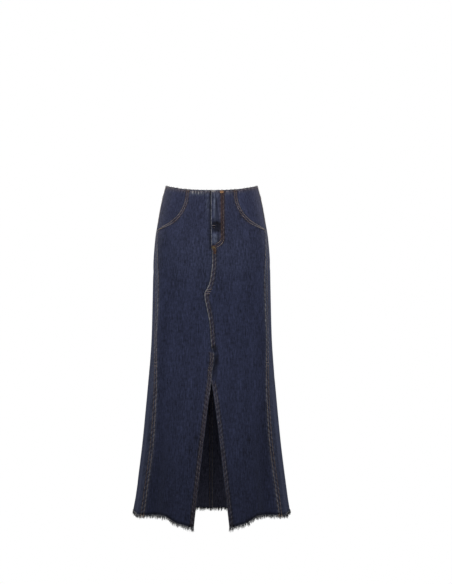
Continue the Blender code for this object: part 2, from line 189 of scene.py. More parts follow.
HEM = columns(("angle", "drop"), (
    (0, 0.9650),
    (13, 0.9605),
    (19, 0.9540),
    (22, 0.9508),
    (28, 0.9390),
    (32, 0.9330),
    (35, 0.9318),
    (43, 0.9338),
    (58, 0.9380),
    (90, 0.9360),
    (135, 0.9460),
    (168, 0.9555),
    (180, 0.9560),
))
NOMINAL_HEM = 0.940  # a panel's last row, before the hem's own line bends it
WAIST_FADE = 0.13
HEM_FADE = 0.30

# %% Smooth curves through a table
def smooth(x, knots, values):
    """A cubic between knots. Each inner slope is the harmonic mean of the two runs beside
    it, or level where they change direction, so the curve never overshoots a knot."""
    run = np.diff(values) / np.diff(knots)
    both = run[:-1] * run[1:]
    mean = np.where(both > 0, 2 * both / np.where(both > 0, run[:-1] + run[1:], 1), 0)
    slope = np.concatenate((run[:1], mean, run[-1:]))
    i = np.clip(np.searchsorted(knots, x) - 1, 0, len(knots) - 2)
    span = knots[i + 1] - knots[i]
    t = np.clip((x - knots[i]) / span, 0, 1)
    start = values[i] * (1 + 2 * t) * (1 - t) ** 2 + slope[i] * span * t * (1 - t) ** 2
    end = values[i + 1] * t**2 * (3 - 2 * t) - slope[i + 1] * span * t**2 * (1 - t)
    return start + end


def looked_up(x, table, name):
    """The smooth curve through one column of a table, over its first column."""
    return smooth(x, next(iter(table.values())), table[name])


def all_looked_up(x, table):
    """The same for every column but the first."""
    return [looked_up(x, table, name) for name in list(table)[1:]]


def line_drop(line, angle):
    """The waist's or the hem's drop at an angle."""
    return looked_up(np.abs(np.degrees(angle)), line, "drop")


def eased(t):
    """3t² - 2t³ between 0 and 1: a step with a soft start and end."""
    t = np.clip(t, 0, 1)
    return t * t * (3 - 2 * t)


def rising(x, start, over):
    """0 until x comes to start, 1 once it is past that by over, and a soft step between."""
    return eased((x - start) / over)


def bell(x, half):
    """e to the minus (x / half)²: a soft bump, 1 at its middle."""
    return np.exp(-((x / half) ** 2))


print("hem at the front and the sides", line_drop(HEM, np.radians((0, 90))))

# %% The master surface
def unit(vectors):
    """Vectors divided by their own lengths."""
    return vectors / np.linalg.norm(vectors, axis=-1, keepdims=True)


def fold_rise(angle, drop):
    """The sum of the folds: each is a squared cosine across, and grows downwards."""
    total = np.zeros(np.broadcast(angle, drop).shape)
    for line, rise, half_width, start, full in zip(*FOLD.values(), strict=True):
        away = (np.degrees(angle) - line + 180) % 360 - 180
        wave = np.cos(np.clip(away / half_width, -1, 1) * math.pi / 2) ** 2
        total += rise * wave * rising(drop, start, full - start)
    return total


def surface(angle, drop):
    """An oval ring at each drop. A third harmonic of sine and cosine squares it, and the
    folds push it out along the oval's own normal."""
    angle, drop = np.broadcast_arrays(angle, drop)
    half_width, front, back, square = all_looked_up(drop, SECTION)
    depth, middle = (front + back) / 2, (back - front) / 2
    across = (np.sin(angle) + square * np.sin(3 * angle)) / (1 - square)
    along = (np.cos(angle) - square * np.cos(3 * angle)) / (1 - square)
    out = unit(np.stack((np.sin(angle) * depth, -np.cos(angle) * half_width), -1))
    rise = fold_rise(angle, drop)
    x = half_width * across + out[..., 0] * rise
    y = middle - depth * along + out[..., 1] * rise
    return np.stack((x, y, SIDE_RISE - drop), -1)


def outward(angle, drop):
    """The unit normal: the cross product of a step down and a step around."""
    step = 1e-4
    around = surface(angle + step, drop) - surface(angle - step, drop)
    down = surface(angle, drop + step) - surface(angle, drop - step)
    return unit(np.cross(down, around))


print("waist half width", surface(math.pi / 2, 0.0)[0], "hem", surface(math.pi / 2, 0.936)[0])

# %% [markdown]
# ## Creases that the cloth has picked up
#
# Heavy denim keeps a memory of how it was worn: short drag lines from the crotch, whiskers
# at the hips, and long shallow ripples above the hem. A cloth simulation would give other
# creases on each run. Here each one is listed, as a soft trough or ridge between
# two places, and no two are alike. They bend the shared surface, so a crease runs across
# a seam into the next panel.

# %% Creases
# From an angle and a drop, to an angle and a drop, then half the width and the rise.
CREASES = (
    # Drag lines and whiskers on the front.
    (-7, 0.262, -33, 0.212, 0.0065, -0.0008),
    (-10, 0.297, -41, 0.271, 0.0090, -0.0009),
    (-9, 0.325, -30, 0.352, 0.0080, -0.0007),
    (8, 0.243, 36, 0.196, 0.0070, -0.0009),
    (6, 0.285, 44, 0.262, 0.0100, -0.0010),
    (5, 0.330, 29, 0.371, 0.0075, -0.0006),
    (-38, 0.148, -69, 0.189, 0.0080, 0.0007),
    (41, 0.155, 66, 0.181, 0.0070, 0.0006),
    (-22, 0.062, -19, 0.124, 0.0110, 0.0006),
    (27, 0.055, 23, 0.118, 0.0100, 0.0005),
    # Long ripples on the front's lower half.
    (-13, 0.560, -19, 0.830, 0.0140, 0.0013),
    (-35, 0.470, -38, 0.760, 0.0120, -0.0012),
    (-27, 0.690, -33, 0.925, 0.0095, -0.0011),
    (15, 0.600, 12, 0.905, 0.0130, 0.0012),
    (33, 0.440, 37, 0.700, 0.0125, -0.0013),
    (29, 0.735, 35, 0.915, 0.0105, 0.0012),
    (-50, 0.610, -53, 0.880, 0.0100, 0.0010),
    (51, 0.580, 54, 0.820, 0.0110, 0.0011),
    # Round the sides.
    (-74, 0.230, -96, 0.262, 0.0095, -0.0009),
    (77, 0.218, 99, 0.247, 0.0085, -0.0008),
    (-83, 0.520, -88, 0.860, 0.0150, 0.0015),
    (86, 0.560, 82, 0.900, 0.0140, 0.0014),
    (-101, 0.600, -98, 0.800, 0.0120, -0.0012),
    (104, 0.500, 101, 0.740, 0.0130, -0.0013),
    # The seat, the backs of the thighs and the back's lower half.
    (-128, 0.236, -168, 0.274, 0.0085, -0.0010),
    (131, 0.229, 166, 0.271, 0.0090, -0.0011),
    (-133, 0.281, -163, 0.309, 0.0100, -0.0008),
    (129, 0.290, 170, 0.317, 0.0080, -0.0009),
    (-118, 0.140, -137, 0.176, 0.0100, 0.0007),
    (121, 0.133, 142, 0.181, 0.0090, 0.0006),
    (-131, 0.520, -134, 0.850, 0.0150, 0.0014),
    (-156, 0.600, -153, 0.910, 0.0130, -0.0013),
    (134, 0.540, 137, 0.800, 0.0140, 0.0015),
    (160, 0.570, 157, 0.880, 0.0120, -0.0012),
    (172, 0.420, 169, 0.640, 0.0130, 0.0010),
    (-172, 0.450, -176, 0.700, 0.0120, 0.0009),
)
CREASE_GIRTH = 0.16  # metres along the cloth for each radian, near enough to lay creases out
print(len(CREASES), "creases")

# %% What the creases and the wavering hem add to the surface
FLUTTER = 0.0011  # how far the raw hem wavers
FLUTTER_REACH = 0.045  # how far above the hem that begins
FLUTTER_WAVES = ((23, 1.0, 0.7), (41, 0.7, 2.1), (67, 0.5, 0.0))  # waves, share and phase


def crease_rise(angle, drop):
    """The sum of the creases. Each is a bell across its own line, and swells from nothing
    at both ends as the square root of a sine. The raw hem wavers by three sines."""
    total = np.zeros(np.broadcast(angle, drop).shape)
    for angle_from, drop_from, angle_to, drop_to, half_width, rise in CREASES:
        away = (np.degrees(angle) - angle_from + 180) % 360 - 180
        x = np.radians(away) * CREASE_GIRTH
        y = drop - drop_from
        run_x = math.radians(angle_to - angle_from) * CREASE_GIRTH
        run_y = drop_to - drop_from
        length = math.hypot(run_x, run_y)
        t = np.clip((x * run_x + y * run_y) / length**2, 0, 1)
        aside = (x * run_y - y * run_x) / length
        total += rise * bell(aside, half_width) * np.sqrt(np.sin(math.pi * t) + 1e-12)
    near_hem = eased(1 - (line_drop(HEM, angle) - drop) / FLUTTER_REACH)
    waver = sum(share * np.sin(waves * angle + phase) for waves, share, phase in FLUTTER_WAVES)
    return total + FLUTTER * near_hem * waver / 1.6


def on_skirt(angle, drop, height):
    """A point that lies height off the creased master surface, along its normal."""
    lifted = height + crease_rise(angle, drop)
    return surface(angle, drop) + outward(angle, drop) * lifted[..., None]


print("a ripple's height", crease_rise(math.radians(-16), 0.695))

# %% [markdown]
# ## Where each panel ends
#
# A panel runs between two rails, its side edges. The front's middle edge is the fly's edge,
# then the swerve of an old crotch seam laid flat, and at last the slit. The outer edge is
# the pocket's curved mouth and then the side seam, which runs in front of the hip.

# %% Where the edges run
CENTRE = columns(("drop", "x"), (
    (0.000, -0.0008),
    (0.103, -0.0008),
    (0.174, 0.0004),
    (0.199, 0.0032),
    (0.222, 0.0030),
    (0.256, -0.0004),
    (0.284, -0.0060),
    (0.298, -0.0127),
    (0.311, -0.0190),
    (0.323, -0.0184),
    (0.343, -0.0144),
    (0.369, -0.0090),
    (0.388, -0.0054),
    (0.416, -0.0025),
    (0.444, -0.0010),
    (0.470, 0.0023),
    (0.481, 0.0076),
    (0.509, 0.0062),
    (0.529, 0.0023),
    (0.559, 0.0006),
))
LAP_CHANGE = 0.476  # above it the wearer's left front laps over, below it the right one
SLIT_TOP = 0.559
SLIT_HALF_AT_HEM = 0.0495
SLIT_SPREAD = 0.9  # the power of its opening: below 1 it spreads sooner at its top
SLIT_SHIFT = 0.0013  # how far to the wearer's left its middle lies
POCKET = columns(("drop", "x"), (
    (0.010, 0.0715),
    (0.044, 0.0750),
    (0.061, 0.0805),
    (0.079, 0.0900),
    (0.094, 0.1030),
    (0.109, 0.1225),
    (0.120, 0.1430),
    (0.129, 0.1580),
))
POCKET_END = 0.129
SIDE_SEAM = columns(("drop", "angle"), (
    (0.000, 90.0),
    (0.036, 88.6),
    (0.070, 86.6),
    (0.100, 84.2),
    (0.129, 80.2),
    (0.156, 75.8),
    (0.215, 70.6),
    (0.272, 67.2),
    (0.340, 66.8),
    (0.415, 66.6),
    (0.515, 61.3),
    (0.560, 59.3),
    (0.615, 57.9),
    (0.729, 57.1),
    (0.850, 57.9),
    (0.965, 58.4),
))
YOKE_AT_SIDE = 0.036
YOKE_AT_BACK = 0.078
BACK_SEAM = 0.0050  # the middle back seam's edge lies this far to the wearer's left

# %% Side edges of the panels
def half_width_at(drop):
    return looked_up(drop, SECTION, "half_width")


def angle_at(x, drop):
    """The angle on the front half whose ring point is x to the left, found by halving."""
    x, drop = np.broadcast_arrays(np.asarray(x, float), np.asarray(drop, float))
    low, high = np.full(x.shape, -math.pi / 2), np.full(x.shape, math.pi / 2)
    for _ in range(26):
        middle = (low + high) / 2
        beyond = surface(middle, drop)[..., 0] > x
        low, high = np.where(beyond, low, middle), np.where(beyond, middle, high)
    return (low + high) / 2


def centre_rail(side):
    """The middle edge of a front: side is +1 for the wearer's left and -1 for the right."""

    def rail(drop):
        middle = looked_up(drop, CENTRE, "x")
        opened = np.maximum(0.0, (drop - SLIT_TOP) / (HEM["drop"][0] - SLIT_TOP))
        free = np.minimum(1, 4 * opened)
        half = GAP / 2 + SLIT_HALF_AT_HEM * opened**SLIT_SPREAD
        return angle_at(middle * (1 - free) + SLIT_SHIFT * free + side * half, drop)

    return rail


def side_rail(side, beyond):
    """The side seam. beyond is +1 for a panel in front of it and -1 for one behind it."""

    def rail(drop):
        place = np.radians(looked_up(drop, SIDE_SEAM, "angle"))
        return side * (place - beyond * GAP / 2 / half_width_at(drop))

    return rail


def mouth_rail(side, beyond):
    """The pocket's mouth. beyond is +1 for the front below it, -1 for the hip piece."""

    def rail(drop):
        x = looked_up(drop, POCKET, "x")
        return side * angle_at(x - beyond * GAP, drop)

    return rail


def outer_rail(side):
    """A front's outer edge: the pocket's mouth, and below it the side seam."""
    mouth, seam = mouth_rail(side, 1), side_rail(side, 1)
    return lambda drop: np.where(drop < POCKET_END, mouth(drop), seam(drop))


def back_rail(side):
    """The middle back seam, which lies a little to the wearer's left."""
    return lambda drop: side * math.pi - (BACK_SEAM + side * GAP / 2) / half_width_at(drop)


slit_edges = [float(centre_rail(side)(HEM["drop"][0])) for side in (-1, 1)]
print("the slit's two edges at the hem", np.degrees(slit_edges).round(1), "degrees")

# %% Top and bottom edges of the panels
def bent_drop(row, angle):
    """A row's drop at an angle: rows follow the waist's line above and the hem's below."""
    by_waist = line_drop(WAIST, angle) * eased(1 - row / WAIST_FADE)
    by_hem = np.clip(1 - (NOMINAL_HEM - row) / HEM_FADE, 0, 1) ** 1.5
    return row + by_waist + (line_drop(HEM, angle) - NOMINAL_HEM) * by_hem


def yoke_drop(angle):
    """The yoke's lower edge, a shallow V that is lowest at the middle of the back."""
    return np.interp(np.abs(angle), (math.pi / 2, math.pi), (YOKE_AT_SIDE, YOKE_AT_BACK))


def yoke_bend(share, angle):
    """Rows of the yoke: shares of the way from the waist to the yoke's lower edge."""
    top = bent_drop(0.0, angle)
    return top + (yoke_drop(angle) - GAP / 2 - top) * share


def back_bend(row, angle):
    """Rows of the back: they follow the yoke's edge at first and the hem's line at last."""
    near = np.clip((POCKET_END - row) / (POCKET_END - YOKE_AT_SIDE), 0, 1) ** 1.5
    lift = (yoke_drop(angle) + GAP / 2 - YOKE_AT_SIDE) * near
    return lift + np.where(row >= POCKET_END, bent_drop(row, angle), row)


print("the yoke's edge at the side and the back", yoke_drop(np.array((math.pi / 2, math.pi))))

# %% [markdown]
# ## A panel's grid
#
# A panel is a grid of rows and columns. Most of a panel is quiet cloth, which wide columns
# show well enough, but within two centimetres of an edge there are plies, stitches and
# puckers, so the columns stand close together there. Where an edge slants across the rows,
# as a pocket's mouth does, the columns near it are spread by the same slant, so that a
# column always runs at one true distance from the edge.
#
# At a lapped seam the turned-in ply reaches under the next panel. So a grid may have a
# ledge, two more columns beyond its edge and below its neighbour, and no light comes
# through the seam.

# %% Lay a grid out between two rails
NEAR_EDGE = np.array((
    0, 0.4, 1.0, 1.9, 2.9, 3.9, 5.0, 6.2, 7.4, 8.6, 9.6, 10.6, 11.6, 12.6, 13.6, 15, 17, 20, 25
)) / 1000  # where the columns beside an edge stand
NEAR_FLY = np.array((*NEAR_EDGE, 0.0275, 0.0295, 0.032, 0.0345, 0.0362, 0.0378, 0.040, 0.043))
EDGE_LIP = 0.00008  # how far the rounded edge stands beyond the last full column
LEDGE = 0.008
WIDEST_SLANT = 2.4
FULLEST = 0.94  # the share of a row that its close columns may take
FINE_SHARES = np.linspace(-0.2, 1.2, 281)  # of the way from one rail to the other
SLANT_WINDOW = np.ones(7) / 7


def fitted(rail, row, bend):
    """The rail's angle on each row, found by going between the rail and the row's bend."""
    drop = row
    for _ in range(8):
        angle = rail(drop)
        drop = bend(row, angle)
    return angle


def run_along(points):
    """How far along a line each of its points lies, from the first."""
    return np.concatenate(([0], np.cumsum(np.linalg.norm(np.diff(points, axis=0), axis=1))))


def slant_of(edge, beside):
    """1 / sine of the angle between an edge and the rows that meet it, evened out."""
    along, across = np.gradient(edge, axis=0), beside - edge
    turned = np.linalg.norm(np.cross(along, across), axis=1)
    sine = turned / np.linalg.norm(along, axis=1) / np.linalg.norm(across, axis=1)
    slant = np.minimum(1 / np.maximum(sine, 1e-6), WIDEST_SLANT)
    return np.convolve(np.pad(slant, 3, mode="edge"), SLANT_WINDOW, mode="valid")[:, None]


def laid_out(side, rails, rows, bend, inner, grain, ledges, near=(NEAR_EDGE, NEAR_EDGE)):
    """A panel's grid for the wearer's left (side +1), or its mirror image (-1). Each row's
    length along the cloth is measured, and its columns are put at set lengths near the
    row's two ends, with inner more evenly between those. grain is the angle of the line
    that the cloth's warp follows, from which u is measured. With the grid come, for each
    rail, the distances from it and the length along it."""
    rails, ledges, near = (pair[::side] for pair in (rails, ledges, near))
    row = rows[:, None]
    ends = [fitted(rail, rows, bend)[:, None] for rail in rails]
    fine = ends[0] * (1 - FINE_SHARES) + ends[1] * FINE_SHARES
    line = surface(fine, bend(row, fine))
    run = np.cumsum(np.linalg.norm(np.diff(line, axis=1), axis=2), axis=1)
    run = np.concatenate((np.zeros_like(row), run), axis=1)
    first = int(np.argmin(np.abs(FINE_SHARES)))
    last = len(FINE_SHARES) - 1 - first
    run -= run[:, first : first + 1]
    width = run[:, last : last + 1]
    edges = (line[:, first], line[:, last])
    slants = [slant_of(edges[0], line[:, first + 4]), slant_of(edges[1], line[:, last - 4])]
    wanted = near[0][-1] * slants[0] + near[1][-1] * slants[1]
    squeeze = np.minimum(1, FULLEST * width / wanted)
    before = near[0] * slants[0] * squeeze
    after = width - near[1][::-1] * slants[1] * squeeze
    between = np.linspace(0, 1, inner + 2)[1:-1]
    middle = before[:, -1:] + between * (after[:, :1] - before[:, -1:])
    reach = [np.zeros_like(row) if ledge is None else LEDGE * ledge(row) for ledge in ledges]
    lip = np.full_like(row, -EDGE_LIP / 2)
    lips = [np.concatenate((-EDGE_LIP - far, lip), axis=1) for far in reach]
    at = np.concatenate((lips[0], before, middle, after, width - lips[1][:, ::-1]), axis=1)
    angle = np.stack([np.interp(*line_at) for line_at in zip(at, run, fine, strict=True)])
    drop = bend(row, angle)
    warp_at = [np.interp(side * grain, *line_at) for line_at in zip(fine, run, strict=True)]
    mid = at.shape[1] // 2
    down = rows[0] + run_along(surface(angle, drop)[:, mid])
    from_edges = (at / slants[0], (width - at) / slants[1])
    along_edges = (run_along(edge)[:, None] for edge in edges)
    grid = {
        "rows": rows,
        "at": at,
        "width": width,
        "slants": slants,
        "angle": angle,
        "drop": drop,
        "ledges": [far[:, 0] / LEDGE for far in reach],
        "u": at - np.stack(warp_at)[:, None],
        "v": down[:, None] + drop - drop[:, mid : mid + 1],
    }
    return grid, *list(zip(from_edges, along_edges, strict=True))[::side]


# %% [markdown]
# ## What a seam looks like
#
# A jeans seam is lapped: one panel's edge is folded, laid over the other and sewn down with
# two rows. The folded edge stands proud and is the first to wear pale. The two rows pull
# channels into the cloth, which get painted shade, and because the plies shift a little as
# they are sewn and then shrink, slanting puckers run along the whole seam. Their crests are
# made pale, partly as wear and partly as painted highlight, and their hollows get painted
# shade. The plies end a little inside the second row, in a soft step, with a painted shadow
# beside it.
#
# Each of these is a formula in two lengths: how far a place is from the edge, and how far
# along the edge it lies. The same formulas give the height, the wear and the painted shade,
# so the colour, painted shade included, always sits on the form that causes it.

# %% One lapped edge
RAMP = 0.003  # the step at the end of the plies
CHANNEL = 0.00030  # how deep a row of stitches pulls the cloth in
CHANNEL_HALF = 0.0009
PUCKER = 0.00013
PUCKER_HALF = 0.0048
PUCKER_WAVE = 0.0135  # along the seam
PUCKER_SLANT = 0.016  # the same across it
PUCKER_FAN = 0.009  # how far puckers run on beyond the plies
ROUNDED = 0.0003
EDGE_ROUND = 0.0011
CLOTH = 0.0012  # one layer of heavy denim
TURNED = 0.0010  # what a second, turned-in layer adds on the inside
SEAM_DIP = 0.00012
DIP_REACH = 0.006
# Where each seam's puckers start their swing, so that no two seams match.
PHASE = {"fly": 1.3, "slit": 4.1, "left": 2.6, "right": 5.2}
PHASE |= {"hip": 3.7, "yoke": 7.1, "back": 6.4}


def pucker_wave(along, distance, phase):
    """A sine along the seam. Its phase drifts by two slow sines, so no two puckers have
    the same length, and grows with the distance from the edge, so that they slant."""
    drift = 0.9 * np.sin(along / 0.017 + phase) + 1.3 * np.sin(along / 0.043 + 2.3 * phase)
    return np.sin(2 * math.pi * (along / PUCKER_WAVE + distance / PUCKER_SLANT) + drift)


def bells(distance, rows, half):
    """A bell at each row of stitches, added up."""
    return sum(bell(distance - row, half) for row in rows)


def ply_step(distance, width):
    """1 over the turned-in plies and 0 beyond them, with a soft step between."""
    return 1 - eased((distance - width + RAMP / 2) / RAMP)


def lapped(distance, along, width, rise, rows, phase, strength=1.0, **looks):
    """Height, wear, shade and rust near a lapped edge. distance and along are in metres,
    width is where the plies end and rows are the distances of the stitch rows. Of the
    looks, pale is the wear of the very edge, dusty that over the plies, and rusty the
    thread's stain. old is 1 where the plies' end has been worn so long that it is pale
    and wide, with no painted shadow. The shade is painted: a shadow at the plies' end,
    and shade in the stitch channels and the puckers' hollows."""
    pale, dusty = looks.get("pale", 0.12), looks.get("dusty", 0.10)
    rusty, old = looks.get("rusty", 0.40), looks.get("old", 0.0)
    plies = ply_step(distance, width)
    wave = pucker_wave(along, distance, phase) * strength
    over = np.minimum(1, bells(distance, rows, PUCKER_HALF))
    fan = np.exp(-np.maximum(distance - width, 0) / PUCKER_FAN) * (1 - plies)
    channel = bells(distance, rows, CHANNEL_HALF)
    height = rise * plies + PUCKER * wave * (over + 0.45 * fan) - CHANNEL * channel
    height = height - ROUNDED * np.clip(1 - distance / EDGE_ROUND, 0, 1) ** 2
    # The crests are made pale, partly as wear and partly as painted highlight; the hollows get
    # painted shade.
    crest, hollow = (np.clip(sign * wave, 0, 1) * over for sign in (1, -1))
    ridge = bell(distance - rows[-1] - 0.0014 * old, 0.0012 + 0.0026 * old)
    wear = pale * bell(distance - 0.0003, 0.0007) + 0.24 * crest + dusty * (plies + 1.6 * ridge)
    # step is a painted shadow where the plies end, and the stitch channels get painted shade.
    step = (0.40 - 0.40 * old) * bell(distance - width - 0.0004, 0.0018)
    shade = step + 0.45 * hollow + 0.20 * channel
    rust = rusty * np.minimum(1, bells(distance, rows, 0.0033 + 0.0022 * old))
    return height, wear, shade, rust


def under_edge(distance, along, phase, dark=0.42, reach=0.0024):
    """The panel that a lapped edge lies on: it is drawn down a little beside the seam, and
    the seam's puckers die away into it. dark is the painted shadow right beside the edge,
    and reach is how far that goes. The puckers' crests are made a little pale, partly as
    wear and partly as painted highlight."""
    wave = pucker_wave(along, -distance, phase)
    near = np.exp(-np.maximum(distance, 0) / DIP_REACH)
    height = -SEAM_DIP * near + 0.6 * PUCKER * wave * near
    return height, 0.12 * np.clip(wave, 0, 1) * near, dark * bell(distance, reach), 0.0


def inner_ply(distance, width):
    """How deep a folded edge reaches inside: a second ply over the band's width."""
    return TURNED * ply_step(distance, width)


# %% [markdown]
# ## From a grid to a sheet of cloth
#
# A panel could be a single surface with a Solidify modifier, but then its folded edges
# would be no thicker than the rest. Instead it has two grids, the face and the reverse,
# which are closed all round by a narrow rim. The cloth's own two directions go along as a
# UV map in metres, so the weave keeps its real size and follows the panel. Wear and
# painted shade go along as attributes for the material to read.

# %% Meshes, numbers and maps from arrays
def face_list(rows, across):
    """Quads of the face, the reverse and the rim, in that order, all facing outwards."""
    index = np.arange(rows * across).reshape(rows, across)
    a, b = index[:-1, :-1].ravel(), index[:-1, 1:].ravel()
    c, d = index[1:, 1:].ravel(), index[1:, :-1].ravel()
    rim = np.concatenate((index[0, :], index[1:, -1], index[-1, -2::-1], index[-2:0:-1, 0]))
    following = np.roll(rim, -1)
    inside = rows * across
    return np.concatenate(
        (
            np.stack((a, d, c, b), -1),
            np.stack((a, b, c, d), -1) + inside,
            np.stack((rim, following, following + inside, rim + inside), -1),
        )
    )


def mesh_object(name, points, faces, materials, smooth_to=40):
    """An object at the origin from arrays of points and of faces with equal corners."""
    mesh = bpy.data.meshes.new(name)
    points = np.ascontiguousarray(points, np.float32).reshape(-1, 3)
    faces = np.ascontiguousarray(faces, np.int32)
    corners = faces.shape[1]
    mesh.vertices.add(len(points))
    mesh.vertices.foreach_set("co", points.ravel())
    mesh.loops.add(faces.size)
    mesh.loops.foreach_set("vertex_index", faces.ravel())
    mesh.polygons.add(len(faces))
    mesh.polygons.foreach_set("loop_start", np.arange(0, faces.size, corners, dtype=np.int32))
    mesh.update(calc_edges=True)
    mesh.validate()
    for material in materials:
        mesh.materials.append(material)
    mesh.shade_smooth()
    if smooth_to:
        mesh.set_sharp_from_angle(angle=math.radians(smooth_to))
    thing = bpy.data.objects.new(name, mesh)
    bpy.context.scene.collection.objects.link(thing)
    return thing


def give_numbers(thing, name, values):
    """A number at each point, for a material's Attribute node."""
    attribute = thing.data.attributes.new(name, "FLOAT", "POINT")
    attribute.data.foreach_set("value", np.ascontiguousarray(values, np.float32).ravel())


def give_cloth_map(thing, u, v):
    """The UV map named cloth, in metres: u along the weft and v down the warp."""
    corner = np.zeros(len(thing.data.loops), np.int32)
    thing.data.loops.foreach_get("vertex_index", corner)
    layer = thing.data.uv_layers.new(name="cloth")
    both = np.stack((u.ravel()[corner], v.ravel()[corner]), -1)
    layer.uv.foreach_set("vector", np.ascontiguousarray(both, np.float32).ravel())


# %% Close two grids into a shell
cloth, panels = {}, {}  # every panel's sheet and its grid, by the name of its solid
LEDGE_TOP = -0.0016
LEDGE_FOOT = -0.0024
RIM_TOP = -0.0003
RIM_TUCK = 0.0002
RIM_FOOT = -0.0009
REACHES_INSIDE = (("wear", 0.4), ("shade", 0.3), ("rust", 0.3))


def shell(name, grid, layers, depth):
    """A panel of denim. layers are its height, wear, shade and rust. height and depth say
    how far its face and its reverse lie off the shared surface. At its two side edges the
    face turns down, over a ledge if there is one, and otherwise in a rounded rim."""
    face, reverse = layers[0].copy(), -depth
    for side_columns, ledge in zip(((0, 1, 2), (-1, -2, -3)), grid["ledges"], strict=True):
        near, tucked, edge = side_columns
        start = face[:, edge]
        for column, drawn in ((near, RIM_TOP - RIM_TUCK), (tucked, RIM_TOP)):
            face[:, column] = (start + drawn) * (1 - ledge) + LEDGE_TOP * ledge
            reverse[:, column] = RIM_FOOT * (1 - ledge) + LEDGE_FOOT * ledge
    outer, inner = (on_skirt(grid["angle"], grid["drop"], at) for at in (face, reverse))
    rows, across = face.shape
    faces, points = face_list(rows, across), np.concatenate((outer, inner))
    thing = mesh_object(f"cloth_{name}", points, faces, (denim, denim_reverse))
    quads = (rows - 1) * (across - 1)
    reverse_faces = np.zeros(len(faces), np.int32)
    reverse_faces[quads : 2 * quads] = 1
    thing.data.polygons.foreach_set("material_index", reverse_faces)
    give_cloth_map(thing, *(np.concatenate((grid[way], grid[way])) for way in "uv"))
    for (word, share), layer in zip(REACHES_INSIDE, layers[1:], strict=True):
        give_numbers(thing, word, np.concatenate((layer, share * layer)))
    grid |= {"outer": outer, "inner": inner, "normal": outward(grid["angle"], grid["drop"])}
    panels[name], cloth[name] = grid, thing
    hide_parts(name)
    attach(thing, "root")
    main = outer[:, 2:-2]
    steps = (main[1:, :-1] - main[:-1, :-1], main[:-1, 1:] - main[:-1, :-1])
    area = np.linalg.norm(np.cross(*steps), axis=2).sum()
    print(f"{name}: {rows} rows of {across} columns, cut {grid['width'].max():.3f} by",
          f"{np.ptp(grid['v']):.3f} metres, {area:.4f} square metres")


# %% [markdown]
# ## Denim
#
# Denim is a twill: blue warp runs down the cloth, white weft runs across, and each weft
# thread passes under three warps, one further along on each row. So its face is blue with
# steep diagonal lines and its reverse is paler. Yarn of uneven thickness makes
# slubs, which show as short streaks down the cloth. Wear takes the blue off the high
# places first.
#
# The twill is a sine across the diagonal, read from the cloth's own UV map. Noise that is
# stretched down the cloth gives the slubs, finer noise mottles the dye, and a broad one
# lets the colour drift. The wear attribute, broken up by the mottle, mixes in a faded blue
# and then the yarn's white core. The rust attribute, which is high along the stitching,
# mixes in the brown of the thread. All of it is summed into one brightness, and the same
# sum gives the bump. The shade attribute is painted shade, which darkens that brightness.

# %% Small helpers for materials
def node(tree, kind, inputs=None, **settings):
    """A new node with its settings, and its unlinked inputs by name or by number."""
    made = tree.nodes.new(f"ShaderNode{kind}")
    for key, value in settings.items():
        setattr(made, key, value)
    for key, value in (inputs or {}).items():
        if isinstance(value, bpy.types.NodeSocket):
            tree.links.new(value, made.inputs[key])
        else:
            made.inputs[key].default_value = value
    return made


def math_node(tree, operation, first, second=0.0, clamp=False):
    made = node(tree, "Math", {0: first, 1: second}, operation=operation, use_clamp=clamp)
    return made.outputs[0]


def math_sum(tree, value, factor, plus):
    """value times factor, plus another."""
    made = node(tree, "Math", {0: value, 1: factor, 2: plus}, operation="MULTIPLY_ADD")
    return made.outputs[0]


def number_of(tree, name):
    """A number that the mesh carries at each of its points."""
    return node(tree, "Attribute", attribute_name=name).outputs["Fac"]


def mixed(tree, factor, first, second):
    """The first colour where factor is 0, the second where it is 1."""
    made = node(tree, "Mix", {"Factor": factor, 6: first, 7: second}, data_type="RGBA")
    return made.outputs[2]


def scaled(tree, colour, factor):
    """A colour times a number."""
    made = node(tree, "VectorMath", {0: colour, "Scale": factor}, operation="SCALE")
    return made.outputs["Vector"]


def stretched_noise(tree, vector, scale, detail=2.0, roughness=0.5):
    """Noise whose cells are 1 / scale metres in each direction, from 0 to 1."""
    place = node(tree, "Mapping", {"Vector": vector, "Scale": scale}).outputs[0]
    inputs = {"Vector": place, "Scale": 1.0, "Detail": detail, "Roughness": roughness}
    return node(tree, "TexNoise", inputs).outputs["Fac"]


def weighted_sum(tree, start, *parts):
    """start plus each value's distance from a half, times its weight."""
    total = start
    for value, weight in parts:
        total = math_sum(tree, value, weight, total)
    return math_node(tree, "SUBTRACT", total, sum(weight for _, weight in parts) / 2)


def new_material(name, roughness, **sockets):
    """A material with its Principled shader, its node tree, and constants on its sockets."""
    material = bpy.data.materials.new(name)
    material.use_nodes = True
    tree = material.node_tree
    shader = tree.nodes["Principled BSDF"]
    shader.inputs["Roughness"].default_value = roughness
    for socket, value in sockets.items():
        shader.inputs[socket.replace("_", " ")].default_value = value
    return material, tree, shader


def give_surface(tree, shader, colour, height, strength, tall):
    """Link a colour to the shader, and bumps that are up to so tall, in metres."""
    tree.links.new(colour, shader.inputs["Base Color"])
    bump = node(tree, "Bump", {"Height": height, "Strength": strength, "Distance": tall})
    tree.links.new(bump.outputs["Normal"], shader.inputs["Normal"])


# %% Denim, face and reverse
TWILL_PITCH = 0.0011
TWILL_STEEPNESS = math.radians(63)
INDIGO = (0.0262, 0.0315, 0.0680, 1)
FADED_BLUE = (0.088, 0.104, 0.150, 1)  # half worn
BARE_COTTON = (0.330, 0.330, 0.340, 1)  # worn through to the yarn's white core
REVERSE_BLUE = (0.118, 0.122, 0.190, 1)
RUSTED = (0.042, 0.027, 0.029, 1)  # where the thread's brown has bled into the cloth
SKY_SHEEN = (0.50, 0.58, 0.85, 1)
DEEPEST = -0.62  # what the fullest painted shade takes off the brightness
